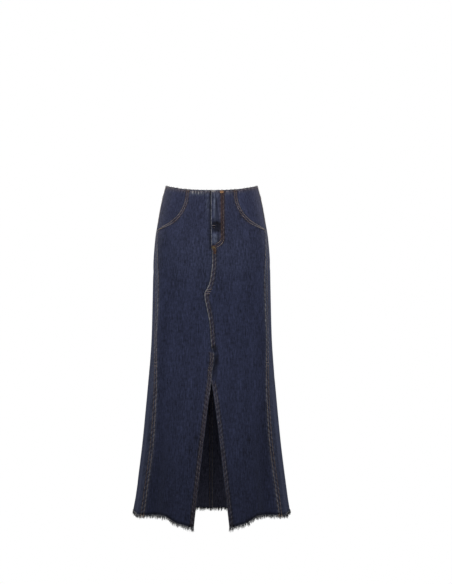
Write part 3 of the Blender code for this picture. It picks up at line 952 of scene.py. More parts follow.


def denim_material(name, base, lean, sheen):
    """Denim whose twill leans to one side (lean +1) or the other (-1)."""
    glow = {"Sheen_Weight": sheen, "Sheen_Roughness": 0.45, "Sheen_Tint": SKY_SHEEN}
    material, tree, shader = new_material(name, 0.86, Specular_IOR_Level=0.16, **glow)
    place = node(tree, "UVMap", uv_map="cloth").outputs[0]
    turn = 2 * math.pi / TWILL_PITCH
    steep = (turn * math.sin(TWILL_STEEPNESS), lean * turn * math.cos(TWILL_STEEPNESS), 0)
    phase = node(tree, "VectorMath", {0: place, 1: steep}, operation="DOT_PRODUCT")
    jitter = stretched_noise(tree, place, (260, 90, 1))
    bent = math_sum(tree, jitter, 5.0, phase.outputs["Value"])
    twill = math_sum(tree, math_node(tree, "SINE", bent), 0.5, 0.5)
    slub = stretched_noise(tree, place, (430, 32, 1), roughness=0.6)
    pick = stretched_noise(tree, place, (46, 700, 1), detail=1.0)
    mottle = stretched_noise(tree, place, (240, 110, 1), detail=3.0, roughness=0.62)
    patch = stretched_noise(tree, place, (26, 5, 1))
    parts = ((twill, 0.50), (slub, 2.1), (pick, 0.6), (mottle, 1.9), (patch, 0.9))
    # The shade attribute is painted shade: it darkens the colour.
    unshaded = math_sum(tree, number_of(tree, "shade"), DEEPEST, 1.0)
    bright = math_node(tree, "MULTIPLY", weighted_sum(tree, 1.0, *parts), unshaded)
    rough_wear = weighted_sum(tree, 1.0, (mottle, 1.7), (slub, 0.9))
    amount = math_node(tree, "MULTIPLY", number_of(tree, "wear"), rough_wear, clamp=True)
    twice = math_node(tree, "MULTIPLY", amount, 2.0, clamp=True)
    blue = mixed(tree, twice, base, FADED_BLUE)
    worn = mixed(tree, math_sum(tree, amount, 2.0, -1.0), blue, BARE_COTTON)
    bled = mixed(tree, number_of(tree, "rust"), worn, RUSTED)
    height = weighted_sum(tree, 0.5, (twill, 0.5), (slub, 0.7), (mottle, 0.8))
    give_surface(tree, shader, scaled(tree, bled, bright), height, 0.55, 0.0005)
    return material


denim = denim_material("denim", INDIGO, 1, 0.10)
denim_reverse = denim_material("denim_reverse", REVERSE_BLUE, -1, 0.05)
print("denim:", len(denim.node_tree.nodes), "nodes")

# %% [markdown]
# ## The two fronts
#
# Each front is one piece from the waist to the hem. The wearer's left front carries the fly:
# a double layer down its middle edge, which curves back to the seam at the bottom under its
# stitching. Below the fly the left front laps over the right one, and where the slit
# begins the two change places. The zip behind the fly has pressed its own marks into
# it: a pale ridge, a hollow under it that is darkened with painted shade, and a pale knob
# over the end of the zip. Where one front's edge lies over the other, the cloth beside it
# gets a painted shadow.

# %% Seams of the fronts, in numbers
FLY = columns(("drop", "width", "rise", "first_row", "second_row"), (
    (0.000, 0.0374, 0.0016, 0.0291, 0.0350),
    (0.150, 0.0374, 0.0016, 0.0291, 0.0350),
    (0.163, 0.0352, 0.0015, 0.0248, 0.0330),
    (0.172, 0.0300, 0.0015, 0.0150, 0.0266),
    (0.180, 0.0200, 0.0013, 0.0060, 0.0130),
    (0.194, 0.0115, 0.0009, 0.0030, 0.0088),
    (0.470, 0.0115, 0.0009, 0.0030, 0.0088),
    (0.482, 0.0115, 0.0002, 0.0030, 0.0090),
    (0.965, 0.0120, 0.0002, 0.0030, 0.0090),
))
SEAM_RISE = 0.0007
SEAM = columns(("drop", "first_row", "second_row", "width"), (
    (0.000, 0.0030, 0.0130, 0.0150),
    (0.150, 0.0030, 0.0150, 0.0170),
    (0.200, 0.0030, 0.0172, 0.0192),
    (0.330, 0.0030, 0.0168, 0.0188),
    (0.450, 0.0030, 0.0122, 0.0142),
    (0.600, 0.0030, 0.0108, 0.0132),
    (0.965, 0.0030, 0.0108, 0.0132),
))
MOUTH_BAND = 0.0100
MOUTH_ROWS = (0.0020, 0.0078)
SLIT_BAND = 0.0115
SLIT_ROWS = (0.0030, 0.0090)
SLIT_LAP_RISE = 0.0008
LAP_PAINTED_LIGHT = 0.035  # painted light: the front over the lap is made paler, where the lamps' light falls off
FRONT_ROWS = 372
FRONT_GRAIN = math.radians(20)
FLY_BOTTOM = 0.176
LAP_END = 0.462  # from here to the slit the right front covers the left one's edge

# %% Raw edges, in numbers
WAIST_ROW = 0.0038
WAIST_WAVER = 0.0003
WAIST_WAVER_REACH = 0.004
# Bands beside a raw edge: how strong each is, its distance from the edge, and half its height.
FLECKS = (0.46, 0.0052, 0.0056)
WAIST_LINE = (0.55, 0.0, 0.0014)
UNDER_FLECKS = (0.20, 0.0100, 0.0020)
WAIST_RUST = (0.42, 0.0050, 0.0050)
HEM_PALE = (0.12, 0.0, 0.0012)
# HEM_LINE is painted shade over the loosened hem.
HEM_LINE = (0.75, 0.0034, 0.0038)
# On the front: x, half the width and how pale.
FRONT_EDGE_WEAR = ((-0.034, 0.021, 0.92), (-0.056, 0.008, 0.60), (0.046, 0.012, 0.50))

# %% What the zip has pressed into the fly
# Each mark's drop and distance from the edge, half its height and width, its rise, and
# how pale it is, or below zero how much painted shade it gets.
FLY_MARKS = (
    # Marks below zero in the last column are painted shade, in the hollows that the zip has
    # pressed.
    (0.0580, 0.0090, 0.0360, 0.0030, 0.0011, 0.16),
    (0.0440, 0.0092, 0.0120, 0.0042, 0.0003, 0.20),
    (0.0780, 0.0100, 0.0160, 0.0032, 0.0003, 0.20),
    (0.0610, 0.0082, 0.0080, 0.0030, 0.0002, 0.16),
    (0.0930, 0.0118, 0.0120, 0.0022, 0.0001, 0.14),
    (0.0250, 0.0062, 0.0080, 0.0048, 0.0002, 0.22),
    (0.0280, 0.0190, 0.0060, 0.0012, 0.0004, 0.45),
    (0.0360, 0.0170, 0.0080, 0.0020, 0.0002, 0.24),
    (0.0760, 0.0166, 0.0340, 0.0036, -0.0004, -0.95),
    (0.0780, 0.0232, 0.0220, 0.0022, 0.0002, 0.16),
    (0.0460, 0.0140, 0.0120, 0.0026, -0.0002, -0.55),
    (0.0400, 0.0056, 0.0100, 0.0030, -0.0002, -0.52),
    (0.0196, 0.0050, 0.0030, 0.0055, 0.0000, 1.70),
    (0.0460, 0.0026, 0.0340, 0.0013, -0.0003, -0.60),
    (0.1110, 0.0145, 0.0056, 0.0145, -0.0007, -1.15),
    (0.1215, 0.0145, 0.0066, 0.0145, -0.0005, -1.05),
    (0.1325, 0.0140, 0.0060, 0.0135, -0.0006, -1.10),
    (0.1190, 0.0062, 0.0110, 0.0050, 0.0000, -0.65),
    (0.1180, 0.0232, 0.0110, 0.0038, 0.0000, -0.75),
    (0.1350, 0.0226, 0.0070, 0.0038, 0.0000, -0.50),
    (0.1512, 0.0112, 0.0078, 0.0074, 0.0015, 0.34),
    (0.1530, 0.0006, 0.0055, 0.0012, 0.0000, -0.60),
    (0.1625, 0.0096, 0.0055, 0.0060, 0.0006, 0.34),
    (0.1440, 0.0062, 0.0034, 0.0028, 0.0002, 0.10),
    (0.1530, 0.0190, 0.0125, 0.0022, -0.0009, -1.25),
    (0.1690, 0.0150, 0.0040, 0.0050, -0.0004, -0.60),
    (0.1740, 0.0050, 0.0034, 0.0085, -0.0003, -0.95),
    (0.2020, 0.0060, 0.0120, 0.0060, 0.0000, -0.50),
    (0.3300, 0.0004, 0.1500, 0.0011, 0.0000, 0.50),
    # The last three are painted shadow on the left front, beside the right front's edge, which
    # lies over it here.
    (0.4640, 0.0070, 0.0110, 0.0080, 0.0000, -0.75),
    (0.4980, 0.0065, 0.0250, 0.0060, 0.0000, -0.95),
    (0.5280, 0.0030, 0.0300, 0.0070, 0.0000, -0.62),
)
BESIDE_FLY_MARKS = ((0.0560, 0.0098, 0.0340, 0.0036, 0.0003, 0.18),)


def marks(table, drop, distance):
    """The sum of a table of soft marks, as height, wear, shade and no rust. A mark below zero
    adds painted shade.
    """
    height = wear = shade = 0.0
    for at, from_edge, half_drop, half_width, rise, pale in table:
        spot = bell(drop - at, half_drop) * bell(distance - from_edge, half_width)
        height = height + rise * spot
        wear = wear + max(pale, 0.0) * spot
        shade = shade + max(-pale, 0.0) * spot
    return height, wear, shade, 0.0


print(len(FLY_MARKS), "marks on the fly")

# %% Rows, and the raw waist and hem
def rows_between(top, bottom, count):
    """Even rows, and three closer ones at each raw edge."""
    close = np.array((0.0, 0.0007, 0.0018))
    even = np.linspace(top + WAIST_ROW, bottom - WAIST_ROW, count)
    return np.concatenate((top + close, even, bottom - close[::-1]))


def band(distance, strength, middle, half):
    """A soft band along an edge."""
    return strength * bell(distance - middle, half)


def waist_and_hem(grid):
    """Height, wear, shade and rust by the raw waist and hem. Above, a channel of stitches
    runs under a wavering, pale and flecked edge. Below, the loosened edge is pale with a
    line of painted shade over it. The cloth also gets painted shade downwards, for the light
    that falls off towards the hem, most on the fronts, and is warmer at the hips. The front
    over the lap gets painted light."""
    angle, drop = grid["angle"], grid["drop"]
    off_front = np.abs(np.degrees(angle))
    below, above = drop - line_drop(WAIST, angle), line_drop(HEM, angle) - drop
    wave = np.sin(angle * 61) + 0.6 * np.sin(angle * 103 + 1)
    height = -CHANNEL * bell(below - WAIST_ROW, CHANNEL_HALF)
    height = height + WAIST_WAVER * wave * np.exp(-np.maximum(below, 0) / WAIST_WAVER_REACH)
    specks = 0.45 + 0.5 * np.sin(angle * 97 + 0.4) + 0.5 * np.sin(angle * 163 + 2 * wave)
    specks = np.clip(specks, 0, 1)
    flecked = band(below, *FLECKS) * specks
    x = surface(angle, drop)[..., 0]
    for middle, half_width, amount in FRONT_EDGE_WEAR:
        spot = (np.cos(angle) > 0) * bell(x - middle, half_width) * bell(below - 0.0076, 0.0060)
        flecked = flecked + amount * spot * (0.30 + 0.36 * specks)
    wear = band(above, *HEM_PALE) + flecked
    # Painted light: a paler band over the front's lap, added through the wear attribute.
    wear = wear + LAP_PAINTED_LIGHT * bell(off_front, 60) * bell(drop - 0.20, 0.075)
    shade = band(below, *WAIST_LINE) + band(below, *UNDER_FLECKS) * (1.4 - specks)
    # Painted shade over the loosened hem.
    shade = shade + band(above, *HEM_LINE)
    # Painted shade: darker towards the hem, for the lamps' light falling off, and more on the
    # fronts' lower halves.
    shade = shade + 0.24 * rising(drop, 0.05, 0.80)
    shade = shade + 0.26 * rising(drop, 0.52, 0.42) * eased((66 - off_front) / 14)
    by_hip = bell(off_front - 74, 14) * bell(drop, 0.13)
    warm = 0.07 * (1 - eased(drop / 0.30)) + 0.19 * by_hip
    return height, wear, shade, warm + band(below, *WAIST_RUST)


# %% The outer edge of a front
def added(*parts):
    """Heights, wears, shades and rusts added up, each as one array."""
    return [sum(layer) for layer in zip(*parts, strict=True)]


def blended(first, second, share):
    return [a * (1 - share) + b * share for a, b in zip(first, second, strict=True)]


def outer_edge(edge, drop, phase):
    """A front's outer edge: the turned mouth of the pocket, then the lapped side seam. edge
    has the distances from it and along it. Gives its layers and how deep it is inside."""
    share = eased((drop - POCKET_END + 0.008) / 0.022)
    mouth, seam = (*MOUTH_ROWS, MOUTH_BAND), all_looked_up(drop, SEAM)
    *rows, width = (m + (s - m) * share for m, s in zip(mouth, seam, strict=True))
    end = bell(drop - POCKET_END + 0.004, 0.012)
    looks = {
        "dusty": 0.04 + 0.16 * share * (1 - 0.5 * rising(drop, 0.36, 0.18)) + 0.25 * end,
        "rusty": 0.40 - 0.15 * share,
        "old": share * rising(drop, 0.20, 0.20),
    }
    return lapped(*edge, width, SEAM_RISE, rows, phase, **looks), inner_ply(edge[0], width)


# %% Sew up the left front, with its fly
def lap_ledge(row):
    """The ledge under the right front: below the zip and above the slit."""
    return rising(row, 0.188, 0.010) * (1 - rising(row, LAP_END, 0.010))


def whole_ledge(row):
    return np.ones_like(row)


front_rows = rows_between(0.0, NOMINAL_HEM, FRONT_ROWS)
rails, ledges = (centre_rail(1), outer_rail(1)), (lap_ledge, whole_ledge)
near = (NEAR_FLY, NEAR_EDGE)
grid, centre, outer = laid_out(1, rails, front_rows, bent_drop, 28, FRONT_GRAIN, ledges, near)
drop = grid["drop"]
width, rise, *fly_rows = all_looked_up(drop, FLY)
below_fly = rising(drop, FLY_BOTTOM, 0.02)
covered = rising(drop, LAP_END, 0.010) * (1 - rising(drop, SLIT_TOP, 0.010))
by_slit = rising(drop, SLIT_TOP, 0.02)
by_knob = rising(drop, 0.115, 0.012) * (1 - below_fly)
pale = (0.80 + 0.10 * below_fly - 0.14 * by_knob) * (1 - covered) * (1 - by_slit)
looks = {
    "strength": 1 - 0.8 * covered,
    "pale": pale + 0.16 * by_slit,
    "dusty": 0.03 * (1 - covered) + 0.05 * by_slit,
    "rusty": (0.95 - 0.62 * below_fly) * (1 - covered),
}
fly = lapped(*centre, width, rise, fly_rows, PHASE["fly"], **looks)
seam, seam_depth = outer_edge(outer, drop, PHASE["left"])
layers = added(fly, seam, marks(FLY_MARKS, drop, centre[0]), waist_and_hem(grid))
depth = CLOTH + np.maximum(inner_ply(centre[0], width), seam_depth)
shell("front_left", grid, layers, depth)

# %% The right front
rails, ledges = (centre_rail(-1), outer_rail(-1)), (None, whole_ledge)
grid, centre, outer = laid_out(-1, rails, front_rows, bent_drop, 36, FRONT_GRAIN, ledges)
drop = grid["drop"]
lap = eased((drop - LAP_CHANGE + 0.003) / 0.006)
rise = SLIT_LAP_RISE * lap * (1 - 0.7 * rising(drop, SLIT_TOP, 0.04))
by_top = 1 - rising(drop, 0.56, 0.07)
looks = {"pale": 0.16 + 0.54 * by_top, "dusty": 0.07 + 0.03 * by_top, "rusty": 0.55}
slit = lapped(*centre, SLIT_BAND, rise, SLIT_ROWS, PHASE["slit"], **looks)
by_fly = 1 - rising(drop, FLY_BOTTOM, 0.03)
# Painted shadow beside the left front's fly edge, which lies over this front.
dark, reach = 0.70 + 0.45 * by_fly, 0.0028 + 0.0028 * by_fly
beside_fly = under_edge(*centre, PHASE["fly"], dark, reach)
middle = blended(beside_fly, slit, lap)
seam, seam_depth = outer_edge(outer, drop, PHASE["right"])
beside = marks(BESIDE_FLY_MARKS, drop, centre[0])
layers = added(middle, seam, beside, waist_and_hem(grid))
depth = CLOTH + np.maximum(inner_ply(centre[0], SLIT_BAND) * lap, seam_depth)
shell("front_right", grid, layers, depth)

# %% [markdown]
# ## Hip pieces, yokes and backs
#
# The hip piece shows above the pocket's mouth and lies a little lower than the front. The
# yoke gives the back its shape in place of darts, and laps over the back panel in a
# shallow V. Each back panel is wide: it wraps round the side and meets the front at the
# side seam. The two backs are felled together down the middle.

# %% Hip pieces
HIP_ROWS = 62
HIP_FOOT = 0.1280
HIP_RISE = -0.0003
HIP_GRAIN = math.radians(80)
FLAT_SEAM_RISE = 0.0004  # of a seam that stands up less than the long ones
HALVES = ((-1, "right"), (1, "left"))


def hip_ledge(row):
    """The ledge behind the side seam, which dies out towards the pocket's end."""
    return 1 - rising(row, 0.090, 0.020)


hip_rows = rows_between(0.0, HIP_FOOT, HIP_ROWS)
*seam_rows, width = (SEAM[name][0] for name in ("first_row", "second_row", "width"))
for side, word in HALVES:
    rails, ledges = (mouth_rail(side, -1), side_rail(side, 1)), (None, hip_ledge)
    grid, mouth, seam = laid_out(side, rails, hip_rows, bent_drop, 12, HIP_GRAIN, ledges)
    side_seam = lapped(*seam, width, FLAT_SEAM_RISE, seam_rows, PHASE["hip"], 0.7)
    under = under_edge(*mouth, PHASE["left"])
    height, *looks = added(under, side_seam, waist_and_hem(grid))
    depth = np.full_like(height, CLOTH - HIP_RISE)
    shell(f"hip_{word}", grid, (height + HIP_RISE, *looks), depth)

# %% Yokes
YOKE_RISE = 0.0006
YOKE_BAND = 0.0110
YOKE_SEAM_ROWS = (0.0025, 0.0085)
BACK_BAND = 0.0145
BACK_ROWS = (0.0048, 0.0124)
BACK_GRAIN = math.radians(132)
BACK_LEDGES = {-1: (None, whole_ledge), 1: (None, None)}
YOKE_LEDGE_SHARE = 0.14


def back_half(side, rows, bend, inner, rise):
    """The grid of a yoke or a back, its distances from the side seam, its height above the
    yoke's seam with the length along that, the middle seam's layers, and how deep that is
    inside. The wearer's right half laps over the left one."""
    rails, ledges = (side_rail(side, -1), back_rail(side)), BACK_LEDGES[side]
    panel = laid_out(side, rails, rows, bend, inner, BACK_GRAIN, ledges)
    grid, side_edge, back_edge = panel
    above_seam = yoke_drop(grid["angle"]) - grid["drop"]
    along_seam = np.abs(grid["angle"]) * CREASE_GIRTH
    if side < 0:
        middle = lapped(*back_edge, BACK_BAND, rise, BACK_ROWS, PHASE["back"])
        depth = inner_ply(back_edge[0], BACK_BAND)
    else:
        middle, depth = under_edge(*back_edge, PHASE["back"]), np.zeros_like(above_seam)
    return grid, side_edge, above_seam, along_seam, middle, depth


top_shares, foot_shares = (0, 0.012, 0.03), (0.975, 0.99, 1.0, 1.001, 1 + YOKE_LEDGE_SHARE)
shares = np.concatenate((top_shares, np.linspace(0.05, 0.96, 36), foot_shares))
for side, word in HALVES:
    half = back_half(side, shares, yoke_bend, 44, YOKE_RISE)
    grid, side_edge, above_seam, along_seam, middle, depth = half
    band_and_rows = (YOKE_BAND, FLAT_SEAM_RISE, YOKE_SEAM_ROWS)
    lower = lapped(above_seam, along_seam, *band_and_rows, PHASE["yoke"])
    under = under_edge(*side_edge, PHASE["hip"])
    height, *looks = added(middle, lower, under, waist_and_hem(grid))
    height = height + YOKE_RISE
    depth = CLOTH - YOKE_RISE + np.maximum(inner_ply(above_seam, YOKE_BAND), depth)
    height[-2:], depth[-2:] = LEDGE_TOP, -LEDGE_FOOT
    shell(f"yoke_{word}", grid, (height, *looks), depth)

# %% Backs
BACK_ROW_COUNT = 330
SEAM_PAINTED_LIGHT = 0.12  # painted light: the back beside the side seam is made paler, where its fold would shade it

back_rows = rows_between(YOKE_AT_SIDE, NOMINAL_HEM, BACK_ROW_COUNT)
for side, word in HALVES:
    half = back_half(side, back_rows, back_bend, 48, SEAM_RISE)
    grid, side_edge, above_seam, along_seam, middle, depth = half
    # Painted light, added as wear: paler cloth beside the side seam, against the fold's shade
    # there.
    painted_light_by_seam = SEAM_PAINTED_LIGHT * bell(side_edge[0] - 0.002, 0.007) * rising(grid["drop"], 0.30, 0.25)
    under = added(
        under_edge(*side_edge, PHASE[word], dark=0.0),
        (0.0, painted_light_by_seam, 0.0, 0.0),
        under_edge(-above_seam, along_seam, PHASE["yoke"]),
        waist_and_hem(grid),
    )
    shell(f"back_{word}", grid, added(middle, under), CLOTH + depth)

# %% [markdown]
# ## Thread
#
# Jeans are sewn with thick tobacco thread, twisted from three plies. In a picture taken
# from four metres a row of it is one thin warm line, but it is still a row of separate
# stitches, each going down into the cloth at its two ends. A curve with a dashed texture
# would be flat, so each stitch is its own small closed capsule. Thousands of them are
# worked out at once as arrays, so each has only a few dozen faces.
#
# The thread's material reads two UV lengths: metres along the stitch and turns around it.
# Their sum drives a sine, which draws the plies, as bumps and as painted shade between
# them. Each stitch has its own tone, because thread fades unevenly, and along a row the
# tone also swings with a painted highlight on the puckers' crests.

# %% Thread materials
PLY_PITCH = 0.0013


def map_lengths(tree):
    """The two lengths of the map named cloth."""
    place = node(tree, "SeparateXYZ", {0: node(tree, "UVMap", uv_map="cloth").outputs[0]})
    return place.outputs["X"], place.outputs["Y"]


def thread_material(name, colour, faded):
    """Twisted thread. Each stitch's tone puts it between the full colour and the faded."""
    glow = {"Sheen_Weight": 0.1, "Sheen_Roughness": 0.4}
    material, tree, shader = new_material(name, 0.62, Specular_IOR_Level=0.35, **glow)
    along, around = map_lengths(tree)
    turns = math_sum(tree, along, 1 / PLY_PITCH, around)
    ply = math_node(tree, "SINE", math_node(tree, "MULTIPLY", turns, 2 * math.pi))
    blend = mixed(tree, number_of(tree, "tone"), colour, faded)
    # Painted shade between the plies: the ply sine darkens the colour as well as bumping it.
    bright = math_sum(tree, ply, 0.22, 0.88)
    give_surface(tree, shader, scaled(tree, blend, bright), ply, 0.5, 0.0002)
    return material


tobacco = thread_material("tobacco_thread", (0.205, 0.120, 0.076, 1), (0.470, 0.395, 0.350, 1))
grey_thread = thread_material("grey_thread", (0.084, 0.060, 0.062, 1), (0.335, 0.285, 0.280, 1))
worn_thread = thread_material("worn_thread", (0.080, 0.030, 0.024, 1), (0.250, 0.185, 0.080, 1))
tack_thread = thread_material("tack_thread", (0.480, 0.220, 0.070, 1), (0.720, 0.540, 0.380, 1))
looper = thread_material("looper_thread", (0.330, 0.230, 0.170, 1), (0.780, 0.720, 0.660, 1))

# %% Find places on a finished panel
STEP_DOWN = 0.0012  # between two points of a line down a panel
STEP_ACROSS = 0.0015


def on_cloth(grid, row, distance, edge, inside=False):
    """Points and outward normals on a panel's face, or on its reverse: at each row, a
    distance from its left (0) or right (1) edge. They are read between the grid's
    points, first along the two rows on each side of the place and then between them."""
    layers = (grid["inner" if inside else "outer"], grid["normal"])
    i = np.clip(np.searchsorted(grid["rows"], row) - 1, 0, len(grid["rows"]) - 2)
    share = (row - grid["rows"][i]) / (grid["rows"][i + 1] - grid["rows"][i])
    every = np.arange(len(row))
    found = []
    for line in (i, i + 1):
        away = distance * grid["slants"][edge][line, 0]
        at = grid["width"][line, 0] - away if edge else away
        stops = grid["at"][line, 2:-2]
        j = np.clip((stops <= at[:, None]).sum(1) - 1, 0, stops.shape[1] - 2)
        t = ((at - stops[every, j]) / (stops[every, j + 1] - stops[every, j]))[:, None]
        found.append([one[line, j + 2] * (1 - t) + one[line, j + 3] * t for one in layers])
    point, normal = blended(*found, share[:, None])
    return point, -unit(normal) if inside else unit(normal)


def row_down(panel, edge, distance, top, bottom, inside=False):
    """A line down a panel at a distance from one edge, which may change with the row."""
    rows = np.linspace(top, bottom, max(8, int((bottom - top) / STEP_DOWN)))
    away = distance(rows) if callable(distance) else np.full_like(rows, distance)
    return on_cloth(panels[panel], rows, away, edge, inside)


def row_across(panel, below, inside=False):
    """A line across a panel, a set length below its first row."""
    grid = panels[panel]
    first = int(np.searchsorted(grid["rows"], below))
    width = float(grid["width"][first, 0])
    away = np.linspace(0.001, width - 0.001, int(width / STEP_ACROSS))
    rows = np.full_like(away, below)
    return on_cloth(grid, rows, away / grid["slants"][0][first, 0], 0, inside)


# %% Many small tubes at once
def tube_faces(count, rings, sides):
    """Triangles of closed tubes: two for each step around and along, and a fan at each
    end. Every tube has the same pattern, so it is worked out once and moved along."""
    step = np.arange(sides)
    after = (step + 1) % sides
    walls = []
    for ring in range(rings - 1):
        a, b = ring * sides + step, ring * sides + after
        c, d = b + sides, a + sides
        walls += [np.stack((a, b, c), -1), np.stack((a, c, d), -1)]
    fan = np.stack((np.zeros(sides - 2, int), step[2:], step[1:-1]), -1)
    pattern = np.concatenate((*walls, fan, fan[:, ::-1] + (rings - 1) * sides))
    return (pattern[None] + (np.arange(count) * rings * sides)[:, None, None]).reshape(-1, 3)


def tubes(spine, one, other, radius, along, tone, sides):
    """A tube around each row of spine, whose rings lie in the plane of two directions. Gives
    points, triangles, the two lengths of the map, and the tone, for every point."""
    count, rings = spine.shape[:2]
    share = np.arange(sides) / sides
    turn = 2 * math.pi * np.arange(sides) / sides
    one, other = one[:, None, None], other[:, None, None]
    ring = one * np.cos(turn)[:, None] + other * np.sin(turn)[:, None]
    points = spine[:, :, None] + ring * radius[..., None, None]
    lengths = (np.repeat(along.ravel(), sides), np.tile(share, count * rings))
    faces = tube_faces(count, rings, sides)
    return points.reshape(-1, 3), faces, lengths, np.repeat(tone, rings * sides)


def thread_object(name, made, material):
    """One object from several lots of tubes."""
    points, tone = (np.concatenate([lot[i] for lot in made]) for i in (0, 3))
    starts = np.cumsum([0] + [len(lot[0]) for lot in made[:-1]])
    faces = np.concatenate([lot[1] + start for lot, start in zip(made, starts, strict=True)])
    thing = mesh_object(name, points, faces, (material,), smooth_to=0)
    give_cloth_map(thing, *(np.concatenate([lot[2][i] for lot in made]) for i in (0, 1)))
    give_numbers(thing, "tone", tone)
    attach(thing, "root")
    print(name, len(faces), "triangles")
    return thing


# %% Stitches as capsules
RING_PLACE = np.array((-0.50, -0.26, 0.26, 0.50))  # along the stitch, in its lengths
RING_LIFT = np.array((-0.90, 0.50, 0.50, -0.90))  # off the cloth, in the thread's radii
RING_SIZE = np.array((0.60, 1.0, 1.0, 0.60))
ROUND_SIDES = 5
THREAD_RADIUS = 0.00052
STITCH_PITCH = 0.0033
STITCH_SHARE = 0.80
STITCH_STRAY = 0.00009
TACK_PITCH = 0.00042
TACK_LIFT = 0.00035
TACK_RADIUS = 0.00028


def capsules(centre, direction, normal, length, radius, tone, sides=ROUND_SIDES):
    """A capsule for each centre: four rings along its direction, of which the outer two
    are smaller and sink into the cloth."""
    direction = unit(direction)
    aside = unit(np.cross(direction, normal))
    up = np.cross(aside, direction)
    length, radius = (np.broadcast_to(size, len(centre))[:, None] for size in (length, radius))
    spine = centre[:, None] + direction[:, None] * (length * RING_PLACE)[..., None]
    spine = spine + up[:, None] * (radius * RING_LIFT)[..., None]
    return tubes(spine, aside, up, radius * RING_SIZE, length * RING_PLACE, tone, sides)


def strung(values, run, at):
    """A line's points or directions, read at set lengths along it."""
    return np.stack([np.interp(at, run, values[:, i]) for i in range(3)], -1)


def sewn(path, fade, seed, pitch=STITCH_PITCH, radius=THREAD_RADIUS, sides=5, rough=1.0):
    """Stitches along a line of points and normals, an even pitch apart. Each is a hair
    longer or shorter than the last and strays a little from the line, more so where rough
    is high. fade is how worn the row is, and its tone also swings by two sines: a slow one
    for uneven fading, and a quick one, at about the puckers' pitch, that is a painted
    highlight where the stitches ride the crests."""
    points, normals = path
    run = run_along(points)
    count = max(2, int(run[-1] / pitch))
    at = (np.arange(count) + 0.5) / count * run[-1]
    ahead, behind = (strung(points, run, at + reach * pitch) for reach in (0.4, -0.4))
    direction, normal = ahead - behind, strung(normals, run, at)
    chance = np.random.default_rng(seed)
    stray = chance.normal(0, STITCH_STRAY * rough, (count, 1))
    centre = (ahead + behind) / 2 + unit(np.cross(direction, normal)) * stray
    length = pitch * STITCH_SHARE * chance.uniform(1 - 0.08 * rough, 1 + 0.05 * rough, count)
    # The slow sine is uneven fading; the quick one is a painted highlight on the puckers'
    # crests.
    fading_and_highlight = 0.16 * np.sin(at / 0.037 + seed) + 0.42 * np.sin(2 * math.pi * at / 0.0143 + seed)
    tone = np.clip(fade + fading_and_highlight + chance.normal(0, 0.15 * rough, count), 0, 1)
    return capsules(centre, direction, normal, length, radius, tone, sides)


def satin(panel, row, from_edge, edge, length, breadth, turn, fade, seed):
    """A bar tack: short stitches packed side by side across a line of that length, whose
    middle lies from_edge away from a panel's edge, turned by some degrees."""
    slope, inward = math.radians(turn), -1 if edge else 1
    count = max(4, int(length / TACK_PITCH))
    t = np.linspace(-length / 2, length / 2, count)
    rows, away = row - t * math.sin(slope), from_edge + inward * t * math.cos(slope)
    centre, normal = on_cloth(panels[panel], rows, away, edge)
    line = np.gradient(centre, axis=0)
    chance = np.random.default_rng(seed)
    across = np.cross(normal, line) + line * chance.normal(0, 0.12, (count, 1))
    size = breadth * chance.uniform(0.88, 1.1, count)
    tone = np.clip(fade + chance.normal(0, 0.28, count), 0, 1)
    return capsules(centre + normal * TACK_LIFT, across, normal, size, TACK_RADIUS, tone)


# %% [markdown]
# ## Where the rows of stitches run
#
# A row is a panel, an edge, a distance from that edge and the rows of cloth between which
# it runs. The seams have two rows each. The fly's own two rows leave its edge, run down
# beside the zip and curve back to the seam, one inside the other.

# %% Where the rows start, stop and curve
J_BEND = 0.159  # below it the fly's rows curve, and have worn pale
J_OUTER = columns(("row", "from_edge"), (
    (0.0010, 0.0350),
    (0.1500, 0.0350),
    (0.1590, 0.0344),
    (0.1660, 0.0318),
    (0.1713, 0.0277),
    (0.1755, 0.0222),
    (0.1785, 0.0165),
    (0.1802, 0.0110),
))
J_INNER = columns(("row", "from_edge"), (
    (0.0010, 0.0291),
    (0.1480, 0.0291),
    (0.1555, 0.0284),
    (0.1612, 0.0258),
    (0.1658, 0.0215),
    (0.1690, 0.0165),
    (0.1712, 0.0120),
))

MOUTH_TURN = 0.030  # above it the pocket's rows keep their brown
MOUTH_FADE = 0.108  # the last centimetres of the pocket's mouth have faded most
MOUTH_STOPS = (0.0015, POCKET_END - 0.0035)
SEAM_STOPS = (POCKET_END + 0.002, NOMINAL_HEM - 0.0012)
HIP_STOPS = (0.0015, 0.112)
FLY_SEAM_STOPS = (0.196, 0.460)  # between the fly's foot and the change of laps
HEM_STOP = SEAM_STOPS[1]
YOKE_WAIST_ROW = 0.09  # as a share of the yoke's height
WAIST_PITCH = 0.0050
WAIST_THREAD = 0.0006
SIDES = (("right", 0, 1), ("left", 1, 0))  # the word, then a front's outer and middle edges
# Where a stretch of the slit's rows starts and ends, and how faded its two rows are.
SLIT_FADES = (
    (None, 0.615, 0.28, 0.28),
    (0.615, 0.830, 0.25, 0.12),
    (0.830, HEM_STOP, 0.14, 0.00),
)


def curved_row(panel, table, edge):
    """A line through a table of places, smooth at its knots."""
    t, fine = np.linspace(0, 1, len(table["row"])), np.linspace(0, 1, 260)
    rows, away = (smooth(fine, t, column) for column in table.values())
    return on_cloth(panels[panel], rows, away, edge)


def table_row(table, name):
    """A row of stitches from a table: its distance from the edge at each row of cloth."""
    return lambda rows: looked_up(rows, table, name)


def sewn_rows(lots, seed, **how):
    """Stitches along several paths, each with its fade and the next seed."""
    return [sewn(*lot, seed + i, **how) for i, lot in enumerate(lots)]


SEAM_LINES = ((table_row(SEAM, "first_row"), 0.22), (table_row(SEAM, "second_row"), 0.62))
FLY_LINES = (table_row(FLY, "first_row"), table_row(FLY, "second_row"))
print("the side seam's rows at the hip", [row(0.2) for row, _ in SEAM_LINES])

